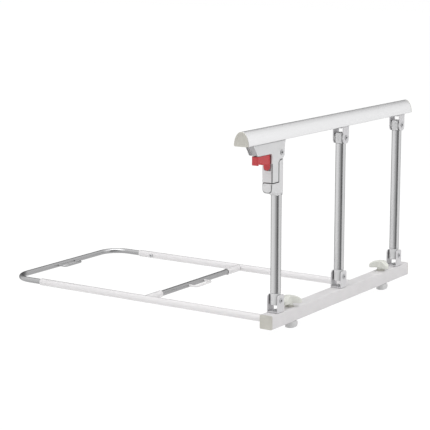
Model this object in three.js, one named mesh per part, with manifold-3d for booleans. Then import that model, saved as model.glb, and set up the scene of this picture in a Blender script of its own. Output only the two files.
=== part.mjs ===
// Folding bed guard rail: a handrail on three posts that fold down along a base beam,
// with a frame that lies under the mattress. Millimetres, +Z up. +X runs along the beam
// from the latch end, and +Y runs from the rail toward the bed.
import * as THREE from 'three';
import { mergeVertices } from 'three/addons/utils/BufferGeometryUtils.js';
import Module from 'manifold-3d';

const wasm = await Module();
wasm.setup();

// Fits shared by all pieces
const clearance = 0.3;
const overrun = 6;

// Counts that set how finely round shapes are drawn
const roundSteps = 20;
const smallSteps = 14;
const smallRadius = 7;
const filletSteps = 4;
const bendSteps = 6;
const rodSides = 8;
const tubeSides = 16;

// Driving sizes. Each piece's own small sizes are kept beside the size that they belong to.
const beam = { width: 34, wall: 2, edgeRadius: 3, frontOverhang: 44, rearOverhang: 54 };
const endCap = { thickness: 3, plugDepth: 14 };
const post = { spacing: 307, pivotSpan: 354.5, radius: 12.5, wall: 1.5 };
const pivot = { aboveBeam: 29, belowRail: 29 };
const pin = { radius: 4, flangeRadius: 6.2, flangeThickness: 1.2, socketRadius: 2.9, socketDepth: 4 };
const foot = { above: 18, below: 11, spigotDepth: 25 };
const head = { above: 12.4, below: 14, spigotDepth: 25, cornerRadius: 2.5, neckHalf: 9 };
const washer = { radius: 11.5, thickness: 3 };
const bracket = { earThickness: 2.4, baseThickness: 2.5 };
const lowerEar = { length: 28.5, reach: 14.5, cornerRadius: 6 };
const upperEar = { length: 29.4, reach: 14.8, cornerRadius: 11 };
const screw = {
  headRadius: 5, headThickness: 3, shankRadius: 2.5, depth: 9, socketRadius: 1.8, socketDepth: 1.8,
};

const rail = { width: 38.6, height: 33.8, wall: 1.8, edgeRadius: 3, frontOverhang: 154, rearOverhang: 49 };

const cast = { sideWall: 1.2, cheek: 3 };
const sleeve = {
  rearWall: 2.5, topDrop: 16.3, length: 88.2, frontRadius: 4, rearRadius: 12, topRadius: 13, bottomRadius: 10,
};
const ledge = {
  reach: 40, topDrop: 68.9, frontHeight: 21, slopeShare: 0.4, bottomRadius: 12, holeDepth: 12,
};
const ledgePad = { proud: 2.5, halfWidth: 12.8, height: 24, topRadius: 4, bottomRadius: 9 };
const nose = {
  topReach: 119.8, bottomReach: 102.3, rise: 1.2, chamfer: 3, tipHalfWidth: 12.3, recessDepth: 7, wall: 3.2,
};
const arm = { reach: 41, innerRadius: 6 };
const lobe = { radius: 15.7, rear: 14, straightTop: 10, heelReach: 17.5, heelDrop: 3.7 };
const boltShape = { radius: 6, centreReach: 28.2, topDrop: 0.5, chamfer: 1, crossRadius: 2 };
const springShape = {
  coilRadius: 4.2, wireRadius: 0.8, length: 19.9, turns: 6, stepsPerTurn: 8, wireSides: 5,
};
const trigger = {
  halfWidth: 8.8, padReach: 96.5, padThickness: 7, padDrop: 21.3, edgeRadius: 2, frontRadius: 3.5,
  archDrop: 17.8, archLength: 11, bodyDrop: 21.5, lipReach: 45, lipThickness: 3.2, lipDrop: 38.8,
  filletRadius: 5, travel: 7, slotAngle: 45, tongueHalfWidth: 2, tongueMargin: 2, crossDrop: 17.5,
};
const housingScrewReaches = { front: 84, rear: 60 };
const housingScrewDeck = 14;

const sideTube = { radius: 9, wall: 1.5, frontX: -13, spacing: 435, reach: 713, insideBeam: 6 };
const frameEnd = { radius: 7, wall: 1.3, reach: 812, bendRadius: 55, overlapLength: 180 };
const lockScrewReach = 668;
const crossBar = { radius: 7.2, wall: 1.3, reach: 374, socketReach: 65, insertion: 25 };
const strapLoop = { halfWidth: 38, depth: 31, rodRadius: 2.8, bendRadius: 9 };

const clampPlaces = { front: 64, rear: 537 };
const clamp = { studRadius: 4, studHeadRadius: 6, studHeadThickness: 3, boreFit: 0.4 };
const collar = { radius: 10.5, thickness: 3 };
const knob = {
  reach: 30.5, wingRadius: 7, hubRadius: 9, top: 27.5, wingUnderside: 9.5, domeRadius: 32,
  boreTop: 21.5, studTop: 20, restAngles: { front: -56, rear: 124 }, wings: 3,
};
const jaw = { gap: 2, thickness: 15.5, heel: 8, toe: 21.5, halfWidth: 12 };

// Places worked out from the driving sizes
const beamTop = beam.width;
const lowerPinZ = beamTop + pivot.aboveBeam;
const upperPinZ = lowerPinZ + post.pivotSpan;
const railZ = upperPinZ + pivot.belowRail;
const stations = { front: 0, middle: post.spacing, rear: 2 * post.spacing };
const earGap = 2 * (post.radius + clearance);
const earSpan = earGap + 2 * bracket.earThickness;
const castHalfWidth = post.radius + clearance + cast.sideWall;
const castSlotHalf = castHalfWidth - cast.cheek;
const sleeveFront = castHalfWidth;
const sleeveRear = post.radius + clearance + sleeve.rearWall;
const postBore = post.radius - post.wall;
const pinBore = pin.radius + clearance;
const frameZ = beam.width / 2;
const rearTubeX = sideTube.frontX + sideTube.spacing;
const boltBore = boltShape.radius + clearance;
const armRoof = 2 * clearance + springShape.length - boltShape.topDrop;
const screwBore = screw.shankRadius + clearance;
const studBore = clamp.studRadius + clamp.boreFit;

// Colours and finishes read from the photograph
const finish = (color, roughness, metalness) => new THREE.MeshStandardMaterial({ color, roughness, metalness });
const paintedBeam = finish(0xdcdadb, 0.45, 0.2);
const railPaint = finish(0xf1f1f2, 0.35, 0.2);
const creamPlastic = finish(0xcfccc0, 0.55, 0);
const satinAluminium = finish(0xc9c9cb, 0.32, 0.9);
const castGrey = finish(0xd6d7d9, 0.5, 0.3);
const bracketSteel = finish(0xd9d9db, 0.4, 0.5);
const rivetSteel = finish(0xb9b9bb, 0.3, 0.9);
const darkSteel = finish(0x8f8f91, 0.35, 0.9);
const frameWhite = finish(0xf2f0f1, 0.3, 0.2);
const ivoryPlastic = finish(0xe0e1d8, 0.45, 0);
const redPlastic = finish(0xc8404a, 0.45, 0);
const whitePlastic = finish(0xe6e6e6, 0.5, 0);

// Solids

/** Turns a closed geometry into a solid that can be joined and cut. */
function toSolid(geometry) {
  const bare = geometry.clone();
  bare.deleteAttribute('normal');
  bare.deleteAttribute('uv');
  const merged = mergeVertices(bare);
  return new wasm.Manifold(new wasm.Mesh({
    numProp: 3,
    vertProperties: new Float32Array(merged.attributes.position.array),
    triVerts: new Uint32Array(merged.index.array),
  }));
}

/** Turns a solid back into a geometry with flat normals. */
function toGeometry(solid) {
  const data = solid.getMesh();
  const indexed = new THREE.BufferGeometry();
  indexed.setAttribute('position', new THREE.BufferAttribute(new Float32Array(data.vertProperties), 3));
  indexed.setIndex(new THREE.BufferAttribute(new Uint32Array(data.triVerts), 1));
  const geometry = indexed.toNonIndexed();
  geometry.computeVertexNormals();
  return geometry;
}

/** Makes one geometry of several that meet. */
function join(geometries) {
  return toGeometry(geometries.map(toSolid).reduce((whole, next) => whole.add(next)));
}

/** Takes every tool away from a geometry. */
function cut(geometry, tools) {
  return toGeometry(tools.map(toSolid).reduce((left, tool) => left.subtract(tool), toSolid(geometry)));
}

/** What two geometries have in common. */
function common(first, second) {
  return toGeometry(toSolid(first).intersect(toSolid(second)));
}

// Outlines, each a list of points drawn anticlockwise

const degrees = THREE.MathUtils.degToRad;

/** Points of an arc about a centre, both ends included. */
function arc(centreX, centreY, radius, startDegrees, endDegrees, steps = filletSteps) {
  return Array.from({ length: steps + 1 }, (_, step) => {
    const angle = degrees(startDegrees + (endDegrees - startDegrees) * step / steps);
    return new THREE.Vector2(centreX + radius * Math.cos(angle), centreY + radius * Math.sin(angle));
  });
}

const stepsFor = (radius) => (radius < smallRadius ? smallSteps : roundSteps);
const circle = (radius, steps = stepsFor(radius)) => arc(0, 0, radius, 0, 360, steps).slice(1);

/** A rectangle about the origin with rounded corners. */
function roundedRectangle(width, height, radius) {
  const x = width / 2 - radius;
  const y = height / 2 - radius;
  return [
    ...arc(x, y, radius, 0, 90), ...arc(-x, y, radius, 90, 180),
    ...arc(-x, -y, radius, 180, 270), ...arc(x, -y, radius, 270, 360),
  ];
}

const rectangle = (width, height) => [
  new THREE.Vector2(-width / 2, -height / 2), new THREE.Vector2(width / 2, -height / 2),
  new THREE.Vector2(width / 2, height / 2), new THREE.Vector2(-width / 2, height / 2),
];

/** A half ellipse over a flat base, with its lower corners drawn in by the edge radius. */
function domeOutline(halfWidth, height, edgeRadius) {
  const start = Math.asin(edgeRadius / height);
  const steps = roundSteps;
  const dome = Array.from({ length: steps + 1 }, (_, step) => {
    const angle = start + (Math.PI - 2 * start) * step / steps;
    return new THREE.Vector2(halfWidth * Math.cos(angle), height * Math.sin(angle));
  });
  const side = dome[0].x;
  const leftCorner = arc(-side + edgeRadius, edgeRadius, edgeRadius, 180, 270).slice(1);
  const rightCorner = arc(side - edgeRadius, edgeRadius, edgeRadius, 270, 345);
  return [...leftCorner, ...rightCorner, ...dome];
}

// Prisms of outlines

function outlineShape(outline, hole) {
  const shape = new THREE.Shape(outline);
  if (hole) shape.holes.push(new THREE.Path(hole));
  return shape;
}

/** Straight up from the local floor. */
const upPrism = (outline, height, hole) => new THREE.ExtrudeGeometry(
  outlineShape(outline, hole), { depth: height, bevelEnabled: false });

/** Along +Y from the local origin. */
const bedwardPrism = (outline, length, hole) => upPrism(outline, length, hole).rotateX(-Math.PI / 2);

/** An outline of X and Z, as wide as given along Y and centred on it. */
const sidePrism = (outline, width, hole) => upPrism(outline, width, hole)
  .translate(0, 0, -width / 2).rotateX(Math.PI / 2);

/** An outline of Y and Z, drawn out along +X from the local origin. */
function lengthwisePrism(outline, length, hole) {
  const outlineToYZ = new THREE.Matrix4().set(0, 0, 1, 0, 1, 0, 0, 0, 0, 1, 0, 0, 0, 0, 0, 1);
  return upPrism(outline, length, hole).applyMatrix4(outlineToYZ);
}

/** A peg centred on the origin: across along Y, along along X, and up between two heights. */
const pegAcross = (radius, length) => new THREE.CylinderGeometry(radius, radius, length, stepsFor(radius));
const pegAlong = (radius, length) => pegAcross(radius, length).rotateZ(Math.PI / 2);
const pegUp = (radius, bottom, top) => pegAcross(radius, top - bottom)
  .rotateX(Math.PI / 2).translate(0, 0, (bottom + top) / 2);

/** A box between two corners. */
function boxBetween(low, high) {
  const size = high.map((value, index) => value - low[index]);
  const middle = high.map((value, index) => (value + low[index]) / 2);
  return new THREE.BoxGeometry(...size).translate(...middle);
}

/** A profile of radii and heights, turned about the Y axis. */
function turned(profile) {
  const largest = Math.max(...profile.map(([radius]) => radius));
  const points = profile.map(([radius, along]) => new THREE.Vector2(radius, along));
  return new THREE.LatheGeometry(points, stepsFor(largest));
}

/** A route through given points, for a section that is drawn along it. */
class StationCurve extends THREE.Curve {
  constructor(stationPoints) {
    super();
    this.stationPoints = stationPoints;
  }

  getPoint(share, target = new THREE.Vector3()) {
    const last = this.stationPoints.length - 1;
    const index = Math.min(Math.floor(share * last), last - 1);
    return target.lerpVectors(this.stationPoints[index], this.stationPoints[index + 1], share * last - index);
  }

  getPointAt(share, target) {
    return this.getPoint(share, target);
  }

  getTangentAt(share, target = new THREE.Vector3()) {
    const last = this.stationPoints.length - 1;
    const index = Math.round(share * last);
    const before = this.stationPoints[Math.max(index - 1, 0)];
    const after = this.stationPoints[Math.min(index + 1, last)];
    const here = this.stationPoints[index];
    target.set(0, 0, 0);
    if (index > 0) target.add(here.clone().sub(before).normalize());
    if (index < last) target.add(after.clone().sub(here).normalize());
    return target.normalize();
  }
}

/** A section drawn along a list of points. */
function sweep(points, section, hole) {
  return new THREE.ExtrudeGeometry(outlineShape(section, hole), {
    steps: points.length - 1, extrudePath: new StationCurve(points), bevelEnabled: false });
}

/** Points of a U in the plane of the floor: out along +Y, across and back, with rounded corners. */
function uRoute(halfWidth, depth, bendRadius, steps = bendSteps) {
  const corners = [
    ...arc(-halfWidth + bendRadius, depth - bendRadius, bendRadius, 180, 90, steps),
    ...arc(halfWidth - bendRadius, depth - bendRadius, bendRadius, 90, 0, steps),
  ];
  const flat = [new THREE.Vector2(-halfWidth, 0), ...corners, new THREE.Vector2(halfWidth, 0)];
  return flat.map((point) => new THREE.Vector3(point.x, point.y, 0));
}

function piece(name, geometry, material, x = 0, y = 0, z = 0) {
  const mesh = new THREE.Mesh(geometry, material);
  mesh.name = name;
  mesh.position.set(x, y, z);
  return mesh;
}

function groupAt(x, y, z, pieces) {
  const group = new THREE.Group();
  group.position.set(x, y, z);
  group.add(...pieces);
  return group;
}

// Base beam

const beamStart = -beam.frontOverhang;
const beamEnd = stations.rear + beam.rearOverhang;

function baseBeam() {
  const start = beamStart + endCap.thickness + clearance;
  const end = beamEnd - endCap.thickness - clearance;
  const inner = beam.width - 2 * beam.wall;
  const tube = lengthwisePrism(
    roundedRectangle(beam.width, beam.width, beam.edgeRadius), end - start,
    roundedRectangle(inner, inner, beam.edgeRadius - beam.wall)).translate(start, 0, frameZ);
  const topWallStart = beamTop - beam.wall - overrun;
  const sideWallStart = beam.width / 2 - beam.wall - overrun;
  const studHoles = Object.values(clampPlaces).map((x) => (
    pegUp(studBore, -overrun, beamTop + overrun).translate(x, 0, 0)));
  const screwHoles = Object.values(stations).map((x) => (
    pegUp(screwBore, topWallStart, beamTop + overrun).translate(x, 0, 0)));
  const tubeFit = circle(sideTube.radius + clearance);
  const tubeHoles = [sideTube.frontX, rearTubeX].map((x) => (
    bedwardPrism(tubeFit, beam.wall + 2 * overrun).translate(x, sideWallStart, frameZ)));
  return piece('base_beam', cut(tube, [...studHoles, ...screwHoles, ...tubeHoles]), paintedBeam);
}

/** A square cover with a plug that goes into the beam. The plug points along +X. */
function beamCap(name, x, side) {
  const plugWidth = beam.width - 2 * beam.wall - 2 * clearance;
  const cover = lengthwisePrism(roundedRectangle(beam.width, beam.width, beam.edgeRadius), endCap.thickness);
  const plug = lengthwisePrism(
    roundedRectangle(plugWidth, plugWidth, beam.edgeRadius - beam.wall), endCap.thickness + endCap.plugDepth);
  const hollowWidth = plugWidth - 2 * beam.wall;
  const hollow = lengthwisePrism(rectangle(hollowWidth, hollowWidth), endCap.plugDepth + overrun)
    .translate(endCap.thickness, 0, 0);
  const mesh = piece(name, cut(join([cover, plug]), [hollow]), creamPlastic, x, 0, frameZ);
  mesh.rotation.z = side > 0 ? 0 : Math.PI;
  return mesh;
}

// Brackets, pins and screws

/** A U of sheet with its two ears up. The pin's axis is at the origin and the seat is under it. */
function clevis(ear, seat) {
  const half = ear.length / 2;
  const radius = ear.cornerRadius;
  const outline = [
    new THREE.Vector2(-half, -seat), new THREE.Vector2(half, -seat),
    ...arc(half - radius, ear.reach - radius, radius, 0, 90),
    ...arc(-half + radius, ear.reach - radius, radius, 90, 180),
  ];
  const between = boxBetween(
    [-half - overrun, -earGap / 2, -seat + bracket.baseThickness],
    [half + overrun, earGap / 2, ear.reach + overrun]);
  const screwHole = pegUp(screwBore, -seat - overrun, -seat + bracket.baseThickness + overrun);
  return cut(sidePrism(outline, earSpan), [between, pegAcross(pinBore, earSpan + 2 * overrun), screwHole]);
}

/** A hollow-ended rivet through both ears, along Y. */
function pivotPin(name, span, x, z) {
  const half = span / 2 + clearance + pin.flangeThickness;
  const end = [
    [0, -half + pin.socketDepth], [pin.socketRadius, -half + pin.socketDepth], [pin.socketRadius, -half],
    [pin.flangeRadius, -half], [pin.flangeRadius, -half + pin.flangeThickness],
    [pin.radius, -half + pin.flangeThickness],
  ];
  const otherEnd = end.map(([radius, along]) => [radius, -along]).reverse();
  return piece(name, turned([...end, ...otherEnd]), rivetSteel, x, 0, z);
}

/** A pan-head screw that points down, with the underside of its head at the origin. */
function panScrew(depth) {
  const { headRadius, headThickness, shankRadius, socketRadius, socketDepth } = screw;
  return turned([
    [0, -depth], [shankRadius, -depth], [shankRadius, 0], [headRadius, 0],
    [headRadius, headThickness], [socketRadius, headThickness],
    [socketRadius, headThickness - socketDepth], [0, headThickness - socketDepth],
  ]).rotateX(Math.PI / 2);
}

const screwSeat = -pivot.aboveBeam + clearance + bracket.baseThickness + clearance;

function lowerPivot(name) {
  const seat = pivot.aboveBeam - clearance;
  return groupAt(stations[name], 0, lowerPinZ, [
    piece(`lower_bracket_${name}`, clevis(lowerEar, seat), bracketSteel),
    piece(`lower_bracket_screw_${name}`, panScrew(screw.depth), rivetSteel, 0, 0, screwSeat),
    pivotPin(`lower_pivot_pin_${name}`, earSpan, 0, 0),
  ]);
}

function upperPivot(name) {
  const seat = pivot.belowRail - clearance;
  const group = groupAt(stations[name], 0, upperPinZ, [
    piece(`upper_bracket_${name}`, clevis(upperEar, seat), bracketSteel),
    piece(`upper_bracket_screw_${name}`, panScrew(screw.depth), rivetSteel,
      0, 0, -seat + bracket.baseThickness + clearance),
    pivotPin(`upper_pivot_pin_${name}`, earSpan, 0, 0),
  ]);
  group.rotation.x = Math.PI;
  return group;
}

// Posts

const tubeDrops = { front: sleeve.topDrop + sleeve.topRadius, middle: head.below, rear: head.below };
const spigotRadius = postBore - clearance;

function postTube(name) {
  const length = post.pivotSpan - foot.above - tubeDrops[name];
  const tube = upPrism(circle(post.radius), length, circle(postBore));
  return piece(`post_tube_${name}`, tube, satinAluminium, 0, 0, foot.above);
}

/** The round block between the ears of the lower bracket, with a spigot up into the tube. */
function postFoot(name) {
  const block = pegUp(post.radius, -foot.below, foot.above - clearance);
  const spigot = pegUp(spigotRadius, 0, foot.above + foot.spigotDepth);
  const pinHole = pegAcross(pinBore, 2 * post.radius + overrun);
  return piece(`post_foot_${name}`, cut(join([block, spigot]), [pinHole]), castGrey);
}

/** The block at an upper pin of the middle or rear post, with a spigot down into the tube. */
function postHead(name) {
  const side = 2 * post.radius;
  const width = earGap - 2 * (washer.thickness + 2 * clearance);
  const height = head.above + head.below - clearance;
  const block = upPrism(roundedRectangle(side, width, head.cornerRadius), height)
    .translate(0, 0, -head.below + clearance);
  const spigot = pegUp(spigotRadius, -head.below - head.spigotDepth, -head.below + 2 * clearance);
  const solid = cut(join([block, spigot]), [pegAcross(pinBore, side + 2 * overrun)]);
  return piece(`post_head_${name}`, solid, castGrey, 0, 0, post.pivotSpan);
}

/** The front post's round eye, which turns in the slot of the latch housing. */
function frontPostHead() {
  const half = castSlotHalf - clearance;
  const shoulder = -tubeDrops.front + clearance;
  const eye = pegAcross(head.above, 2 * half);
  const neckBox = boxBetween([-head.neckHalf, -half, shoulder], [head.neckHalf, half, 0]);
  const neck = common(neckBox, pegUp(post.radius, shoulder, 0));
  const spigot = pegUp(spigotRadius, -tubeDrops.front - head.spigotDepth, shoulder + clearance);
  const solid = cut(join([eye, neck, spigot]), [pegAcross(pinBore, 2 * half + overrun)]);
  return piece('post_head_front', solid, castGrey, 0, 0, post.pivotSpan);
}

function headWasher(name, side) {
  const y = earGap / 2 - clearance - washer.thickness / 2;
  const ring = bedwardPrism(circle(washer.radius), washer.thickness, circle(pinBore))
    .translate(0, -washer.thickness / 2, 0);
  const place = side > 0 ? 'inner' : 'outer';
  return piece(`head_washer_${name}_${place}`, ring, whitePlastic, 0, side * y, post.pivotSpan);
}

function foldingPost(name) {
  const upperPieces = name === 'front'
    ? [frontPostHead(), latchSleeve()]
    : [postHead(name), headWasher(name, -1), headWasher(name, 1)];
  return groupAt(stations[name], 0, lowerPinZ, [postTube(name), postFoot(name), ...upperPieces]);
}

// Latch. Heights are measured from the front post's upper pin.

const armBottom = -ledge.topDrop + clearance;
const sleeveBottom = -sleeve.topDrop - sleeve.length;

/** The sleeve's barrel, or with an added clearance, the room that the arm leaves for it. */
function sleeveBarrel(grown) {
  const front = -sleeveFront - grown;
  const rear = sleeveRear + grown;
  const half = castHalfWidth + grown;
  const top = -sleeve.topDrop + grown;
  const topRadius = sleeve.topRadius + grown;
  const bottomRadius = sleeve.bottomRadius - grown;
  const outline = [
    ...arc(front + bottomRadius, sleeveBottom + bottomRadius, bottomRadius, 180, 270),
    new THREE.Vector2(rear, sleeveBottom), new THREE.Vector2(rear, top),
    ...arc(front + topRadius, top - topRadius, topRadius, 90, 180, 2 * filletSteps),
  ];
  const frontRadius = sleeve.frontRadius + grown;
  const rearRadius = sleeve.rearRadius + grown;
  const plan = [
    ...arc(front + frontRadius, -half + frontRadius, frontRadius, 180, 270),
    ...arc(rear - rearRadius, -half + rearRadius, rearRadius, 270, 360),
    ...arc(rear - rearRadius, half - rearRadius, rearRadius, 0, 90),
    ...arc(front + frontRadius, half - frontRadius, frontRadius, 90, 180),
  ];
  const planPrism = upPrism(plan, sleeve.length + grown).translate(0, 0, sleeveBottom);
  return common(sidePrism(outline, 2 * half), planPrism);
}

/** An upright outline of Y and Z with rounded lower corners, and rounded upper ones where asked. */
function bracketOutline(halfWidth, top, bottom, topRadius, bottomRadius) {
  const low = bottom + bottomRadius;
  const high = top - topRadius;
  const bottomSteps = 2 * filletSteps;
  const topCorners = topRadius > 0 ? [
    ...arc(halfWidth - topRadius, high, topRadius, 0, 90),
    ...arc(-halfWidth + topRadius, high, topRadius, 90, 180),
  ] : [new THREE.Vector2(halfWidth, top), new THREE.Vector2(-halfWidth, top)];
  return [
    ...arc(-halfWidth + bottomRadius, low, bottomRadius, 180, 270, bottomSteps),
    ...arc(halfWidth - bottomRadius, low, bottomRadius, 270, 360, bottomSteps), ...topCorners,
  ];
}

/** The web under the ledge. Its rounded underside slopes down toward the barrel. */
function ledgeWeb() {
  const top = -ledge.topDrop;
  const drop = ledge.slopeShare * ledge.reach;
  const outline = bracketOutline(castHalfWidth, top + drop, top - ledge.frontHeight, 0, ledge.bottomRadius);
  const slope = new THREE.Matrix4().makeShear(0, -ledge.slopeShare, 0, 0, 0, 0);
  const sloped = lengthwisePrism(outline, ledge.reach).applyMatrix4(slope).translate(-ledge.reach, 0, 0);
  return common(sloped, boxBetween([-ledge.reach, -castHalfWidth, sleeveBottom], [0, castHalfWidth, top]));
}

/** The casting on the front post, with the ledge that the latch housing's arm stands on. */
function latchSleeve() {
  const ledgeTop = -ledge.topDrop;
  const { halfWidth, height, topRadius, bottomRadius, proud } = ledgePad;
  const padOutline = bracketOutline(halfWidth, ledgeTop, ledgeTop - height, topRadius, bottomRadius);
  const pad = lengthwisePrism(padOutline, 2 * proud).translate(-ledge.reach - proud, 0, 0);
  const castOutline = bracketOutline(castHalfWidth, 0, sleeveBottom, 0, ledge.bottomRadius);
  const roundedEnd = lengthwisePrism(castOutline, ledge.reach + sleeveRear).translate(-ledge.reach, 0, 0);
  const body = common(join([sleeveBarrel(0), ledgeWeb()]), roundedEnd);
  const tubeBore = pegUp(post.radius + clearance, sleeveBottom - overrun, -sleeve.topDrop + overrun);
  const catchHole = pegUp(boltBore, ledgeTop - ledge.holeDepth, ledgeTop + overrun)
    .translate(-boltShape.centreReach, 0, 0);
  return piece('latch_sleeve', cut(join([body, pad]), [tubeBore, catchHole]), castGrey, 0, 0, post.pivotSpan);
}

/** The side outline of the casting that hangs under the handrail and carries the trigger. */
function housingOutline() {
  const top = pivot.belowRail - clearance;
  const armRear = -sleeveFront + sleeve.frontRadius - clearance;
  const seamCornerZ = -sleeve.topDrop - sleeve.topRadius;
  const lobeEnd = 360 - THREE.MathUtils.radToDeg(Math.acos(lobe.rear / lobe.radius));
  return [
    new THREE.Vector2(-nose.topReach, top), new THREE.Vector2(-nose.bottomReach, nose.rise + nose.chamfer),
    new THREE.Vector2(-nose.bottomReach + nose.chamfer, nose.rise),
    ...arc(-arm.reach - arm.innerRadius, nose.rise - arm.innerRadius, arm.innerRadius, 90, 0),
    new THREE.Vector2(-arm.reach, armBottom), new THREE.Vector2(armRear, armBottom),
    new THREE.Vector2(armRear, seamCornerZ), new THREE.Vector2(0, seamCornerZ),
    ...arc(0, 0, lobe.radius, 270, lobeEnd, 2 * filletSteps),
    new THREE.Vector2(lobe.rear, lobe.straightTop), new THREE.Vector2(lobe.heelReach, top - lobe.heelDrop),
    new THREE.Vector2(lobe.heelReach, top),
  ];
}

const openingBack = -boltShape.centreReach - boltShape.radius;
const crossFit = boltShape.crossRadius + clearance;
const tongueTop = -trigger.crossDrop + trigger.travel + crossFit + trigger.tongueMargin;
const tongueBottom = -trigger.crossDrop - crossFit - trigger.tongueMargin;
const tongueRear = -boltShape.centreReach + crossFit + trigger.tongueMargin;

/** The slanted front face's central recess, drawn in from the nose's own slope. */
function noseRecess() {
  const top = pivot.belowRail;
  const bottom = nose.rise + nose.chamfer;
  const front = -nose.topReach - overrun;
  const outline = [
    new THREE.Vector2(front, top), new THREE.Vector2(front, nose.rise - overrun),
    new THREE.Vector2(-nose.bottomReach + nose.recessDepth, nose.rise - overrun),
    new THREE.Vector2(-nose.bottomReach + nose.recessDepth, bottom),
    new THREE.Vector2(-nose.topReach + nose.recessDepth, top),
  ];
  return sidePrism(outline, 2 * (nose.tipHalfWidth - nose.wall));
}

function latchHousing() {
  const width = 2 * castHalfWidth;
  const eyeRoom = head.above + 2 * clearance;
  const triggerHalf = trigger.halfWidth + clearance;
  const tongueHalf = trigger.tongueHalfWidth + clearance;
  const slot = [
    pegAcross(eyeRoom, 2 * castSlotHalf),
    boxBetween([-head.neckHalf - clearance, -castSlotHalf, -sleeve.topDrop - overrun], [0, castSlotHalf, 0]),
    boxBetween(
      [0, -castSlotHalf, -sleeve.topDrop - overrun], [lobe.heelReach + overrun, castSlotHalf, eyeRoom]),
  ];
  const triggerOpening = boxBetween(
    [-arm.reach - overrun, -triggerHalf, -trigger.lipDrop - clearance],
    [openingBack, triggerHalf, clearance]);
  const tongueSlot = boxBetween(
    [openingBack - overrun, -tongueHalf, tongueBottom - clearance],
    [tongueRear + trigger.travel + clearance, tongueHalf, tongueTop + clearance]);
  const boltChannel = pegUp(boltBore, armBottom - overrun, armRoof).translate(-boltShape.centreReach, 0, 0);
  const screwHoles = Object.values(housingScrewReaches).flatMap((reach) => [
    pegUp(screwBore, 0, pivot.belowRail + overrun).translate(-reach, 0, 0),
    pegUp(screw.headRadius + clearance, -overrun, housingScrewDeck).translate(-reach, 0, 0),
  ]);
  const plan = upPrism([
    new THREE.Vector2(-nose.topReach, -nose.tipHalfWidth), new THREE.Vector2(-arm.reach, -castHalfWidth),
    new THREE.Vector2(lobe.heelReach, -castHalfWidth), new THREE.Vector2(lobe.heelReach, castHalfWidth),
    new THREE.Vector2(-arm.reach, castHalfWidth), new THREE.Vector2(-nose.topReach, nose.tipHalfWidth),
  ], pivot.belowRail - armBottom).translate(0, 0, armBottom);
  const solid = cut(common(sidePrism(housingOutline(), width), plan), [
    sleeveBarrel(clearance), ...slot, noseRecess(), triggerOpening, tongueSlot, boltChannel, ...screwHoles,
    pegAcross(pinBore, width + overrun)]);
  return piece('latch_housing', solid, castGrey);
}

const lipRear = -trigger.lipReach + trigger.lipThickness;

/** The side outline of the trigger: a pad in front, a body under the nose, and a lip that hangs at the arm. */
function triggerOutline() {
  const edge = trigger.edgeRadius;
  const front = -trigger.padReach;
  const padBack = front + trigger.padThickness;
  const { bodyDrop, lipDrop, filletRadius } = trigger;
  const lipFront = -trigger.lipReach;
  return [
    new THREE.Vector2(lipRear, 0),
    ...arc(front + edge, -edge, edge, 90, 180), ...arc(front + edge, -trigger.padDrop + edge, edge, 180, 270),
    new THREE.Vector2(padBack, -trigger.padDrop), new THREE.Vector2(padBack + edge, -trigger.archDrop),
    new THREE.Vector2(padBack + trigger.archLength, -trigger.archDrop),
    new THREE.Vector2(padBack + trigger.archLength + edge, -bodyDrop),
    ...arc(lipFront - filletRadius, -bodyDrop - filletRadius, filletRadius, 90, 0),
    ...arc(lipFront + edge, -lipDrop + edge, edge, 180, 270), new THREE.Vector2(lipRear, -lipDrop),
  ];
}

/** The trigger, with a tongue behind it whose slanted slot lifts the bolt. */
function releaseTrigger() {
  const half = trigger.halfWidth;
  const roundCentre = -trigger.lipDrop + half;
  const frontOutline = [
    new THREE.Vector2(half, 0), new THREE.Vector2(-half, 0),
    ...arc(0, roundCentre, half, 180, 360, 2 * bendSteps),
  ];
  const reach = trigger.padReach;
  const roundedEnds = lengthwisePrism(frontOutline, reach).translate(-reach, 0, 0);
  const plan = upPrism(roundedRectangle(2 * reach, 2 * half, trigger.frontRadius), 2 * trigger.lipDrop)
    .translate(0, 0, -trigger.lipDrop);
  const body = common(common(sidePrism(triggerOutline(), 2 * half), roundedEnds), plan);
  const tongue = boxBetween(
    [lipRear - trigger.lipThickness / 2, -trigger.tongueHalfWidth, tongueBottom],
    [tongueRear, trigger.tongueHalfWidth, tongueTop]);
  const slotLength = trigger.travel / Math.cos(degrees(trigger.slotAngle));
  const slotOutline = [...arc(slotLength, 0, crossFit, -90, 90), ...arc(0, 0, crossFit, 90, 270)];
  const slantedSlot = sidePrism(slotOutline, 2 * half).rotateY(degrees(180 + trigger.slotAngle))
    .translate(-boltShape.centreReach, 0, -trigger.crossDrop);
  return piece('release_trigger', cut(join([body, tongue]), [slantedSlot]), redPlastic);
}

/** The round bolt, slotted for the trigger's tongue, with its cross pin. */
function latchBolt() {
  const top = -boltShape.topDrop;
  const bottom = armBottom + clearance;
  const rod = turned([
    [0, bottom], [boltShape.radius - boltShape.chamfer, bottom], [boltShape.radius, bottom + boltShape.chamfer],
    [boltShape.radius, top], [0, top]]).rotateX(Math.PI / 2);
  const slotHalf = trigger.tongueHalfWidth + clearance;
  const slot = boxBetween(
    [-boltShape.radius - overrun, -slotHalf, tongueBottom - trigger.travel - clearance],
    [boltShape.radius + overrun, slotHalf, tongueTop + clearance]);
  const crossPin = pegAcross(boltShape.crossRadius, 2 * slotHalf + boltShape.radius)
    .translate(0, 0, -trigger.crossDrop);
  return piece('latch_bolt', join([cut(rod, [slot]), crossPin]), rivetSteel, -boltShape.centreReach);
}

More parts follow.
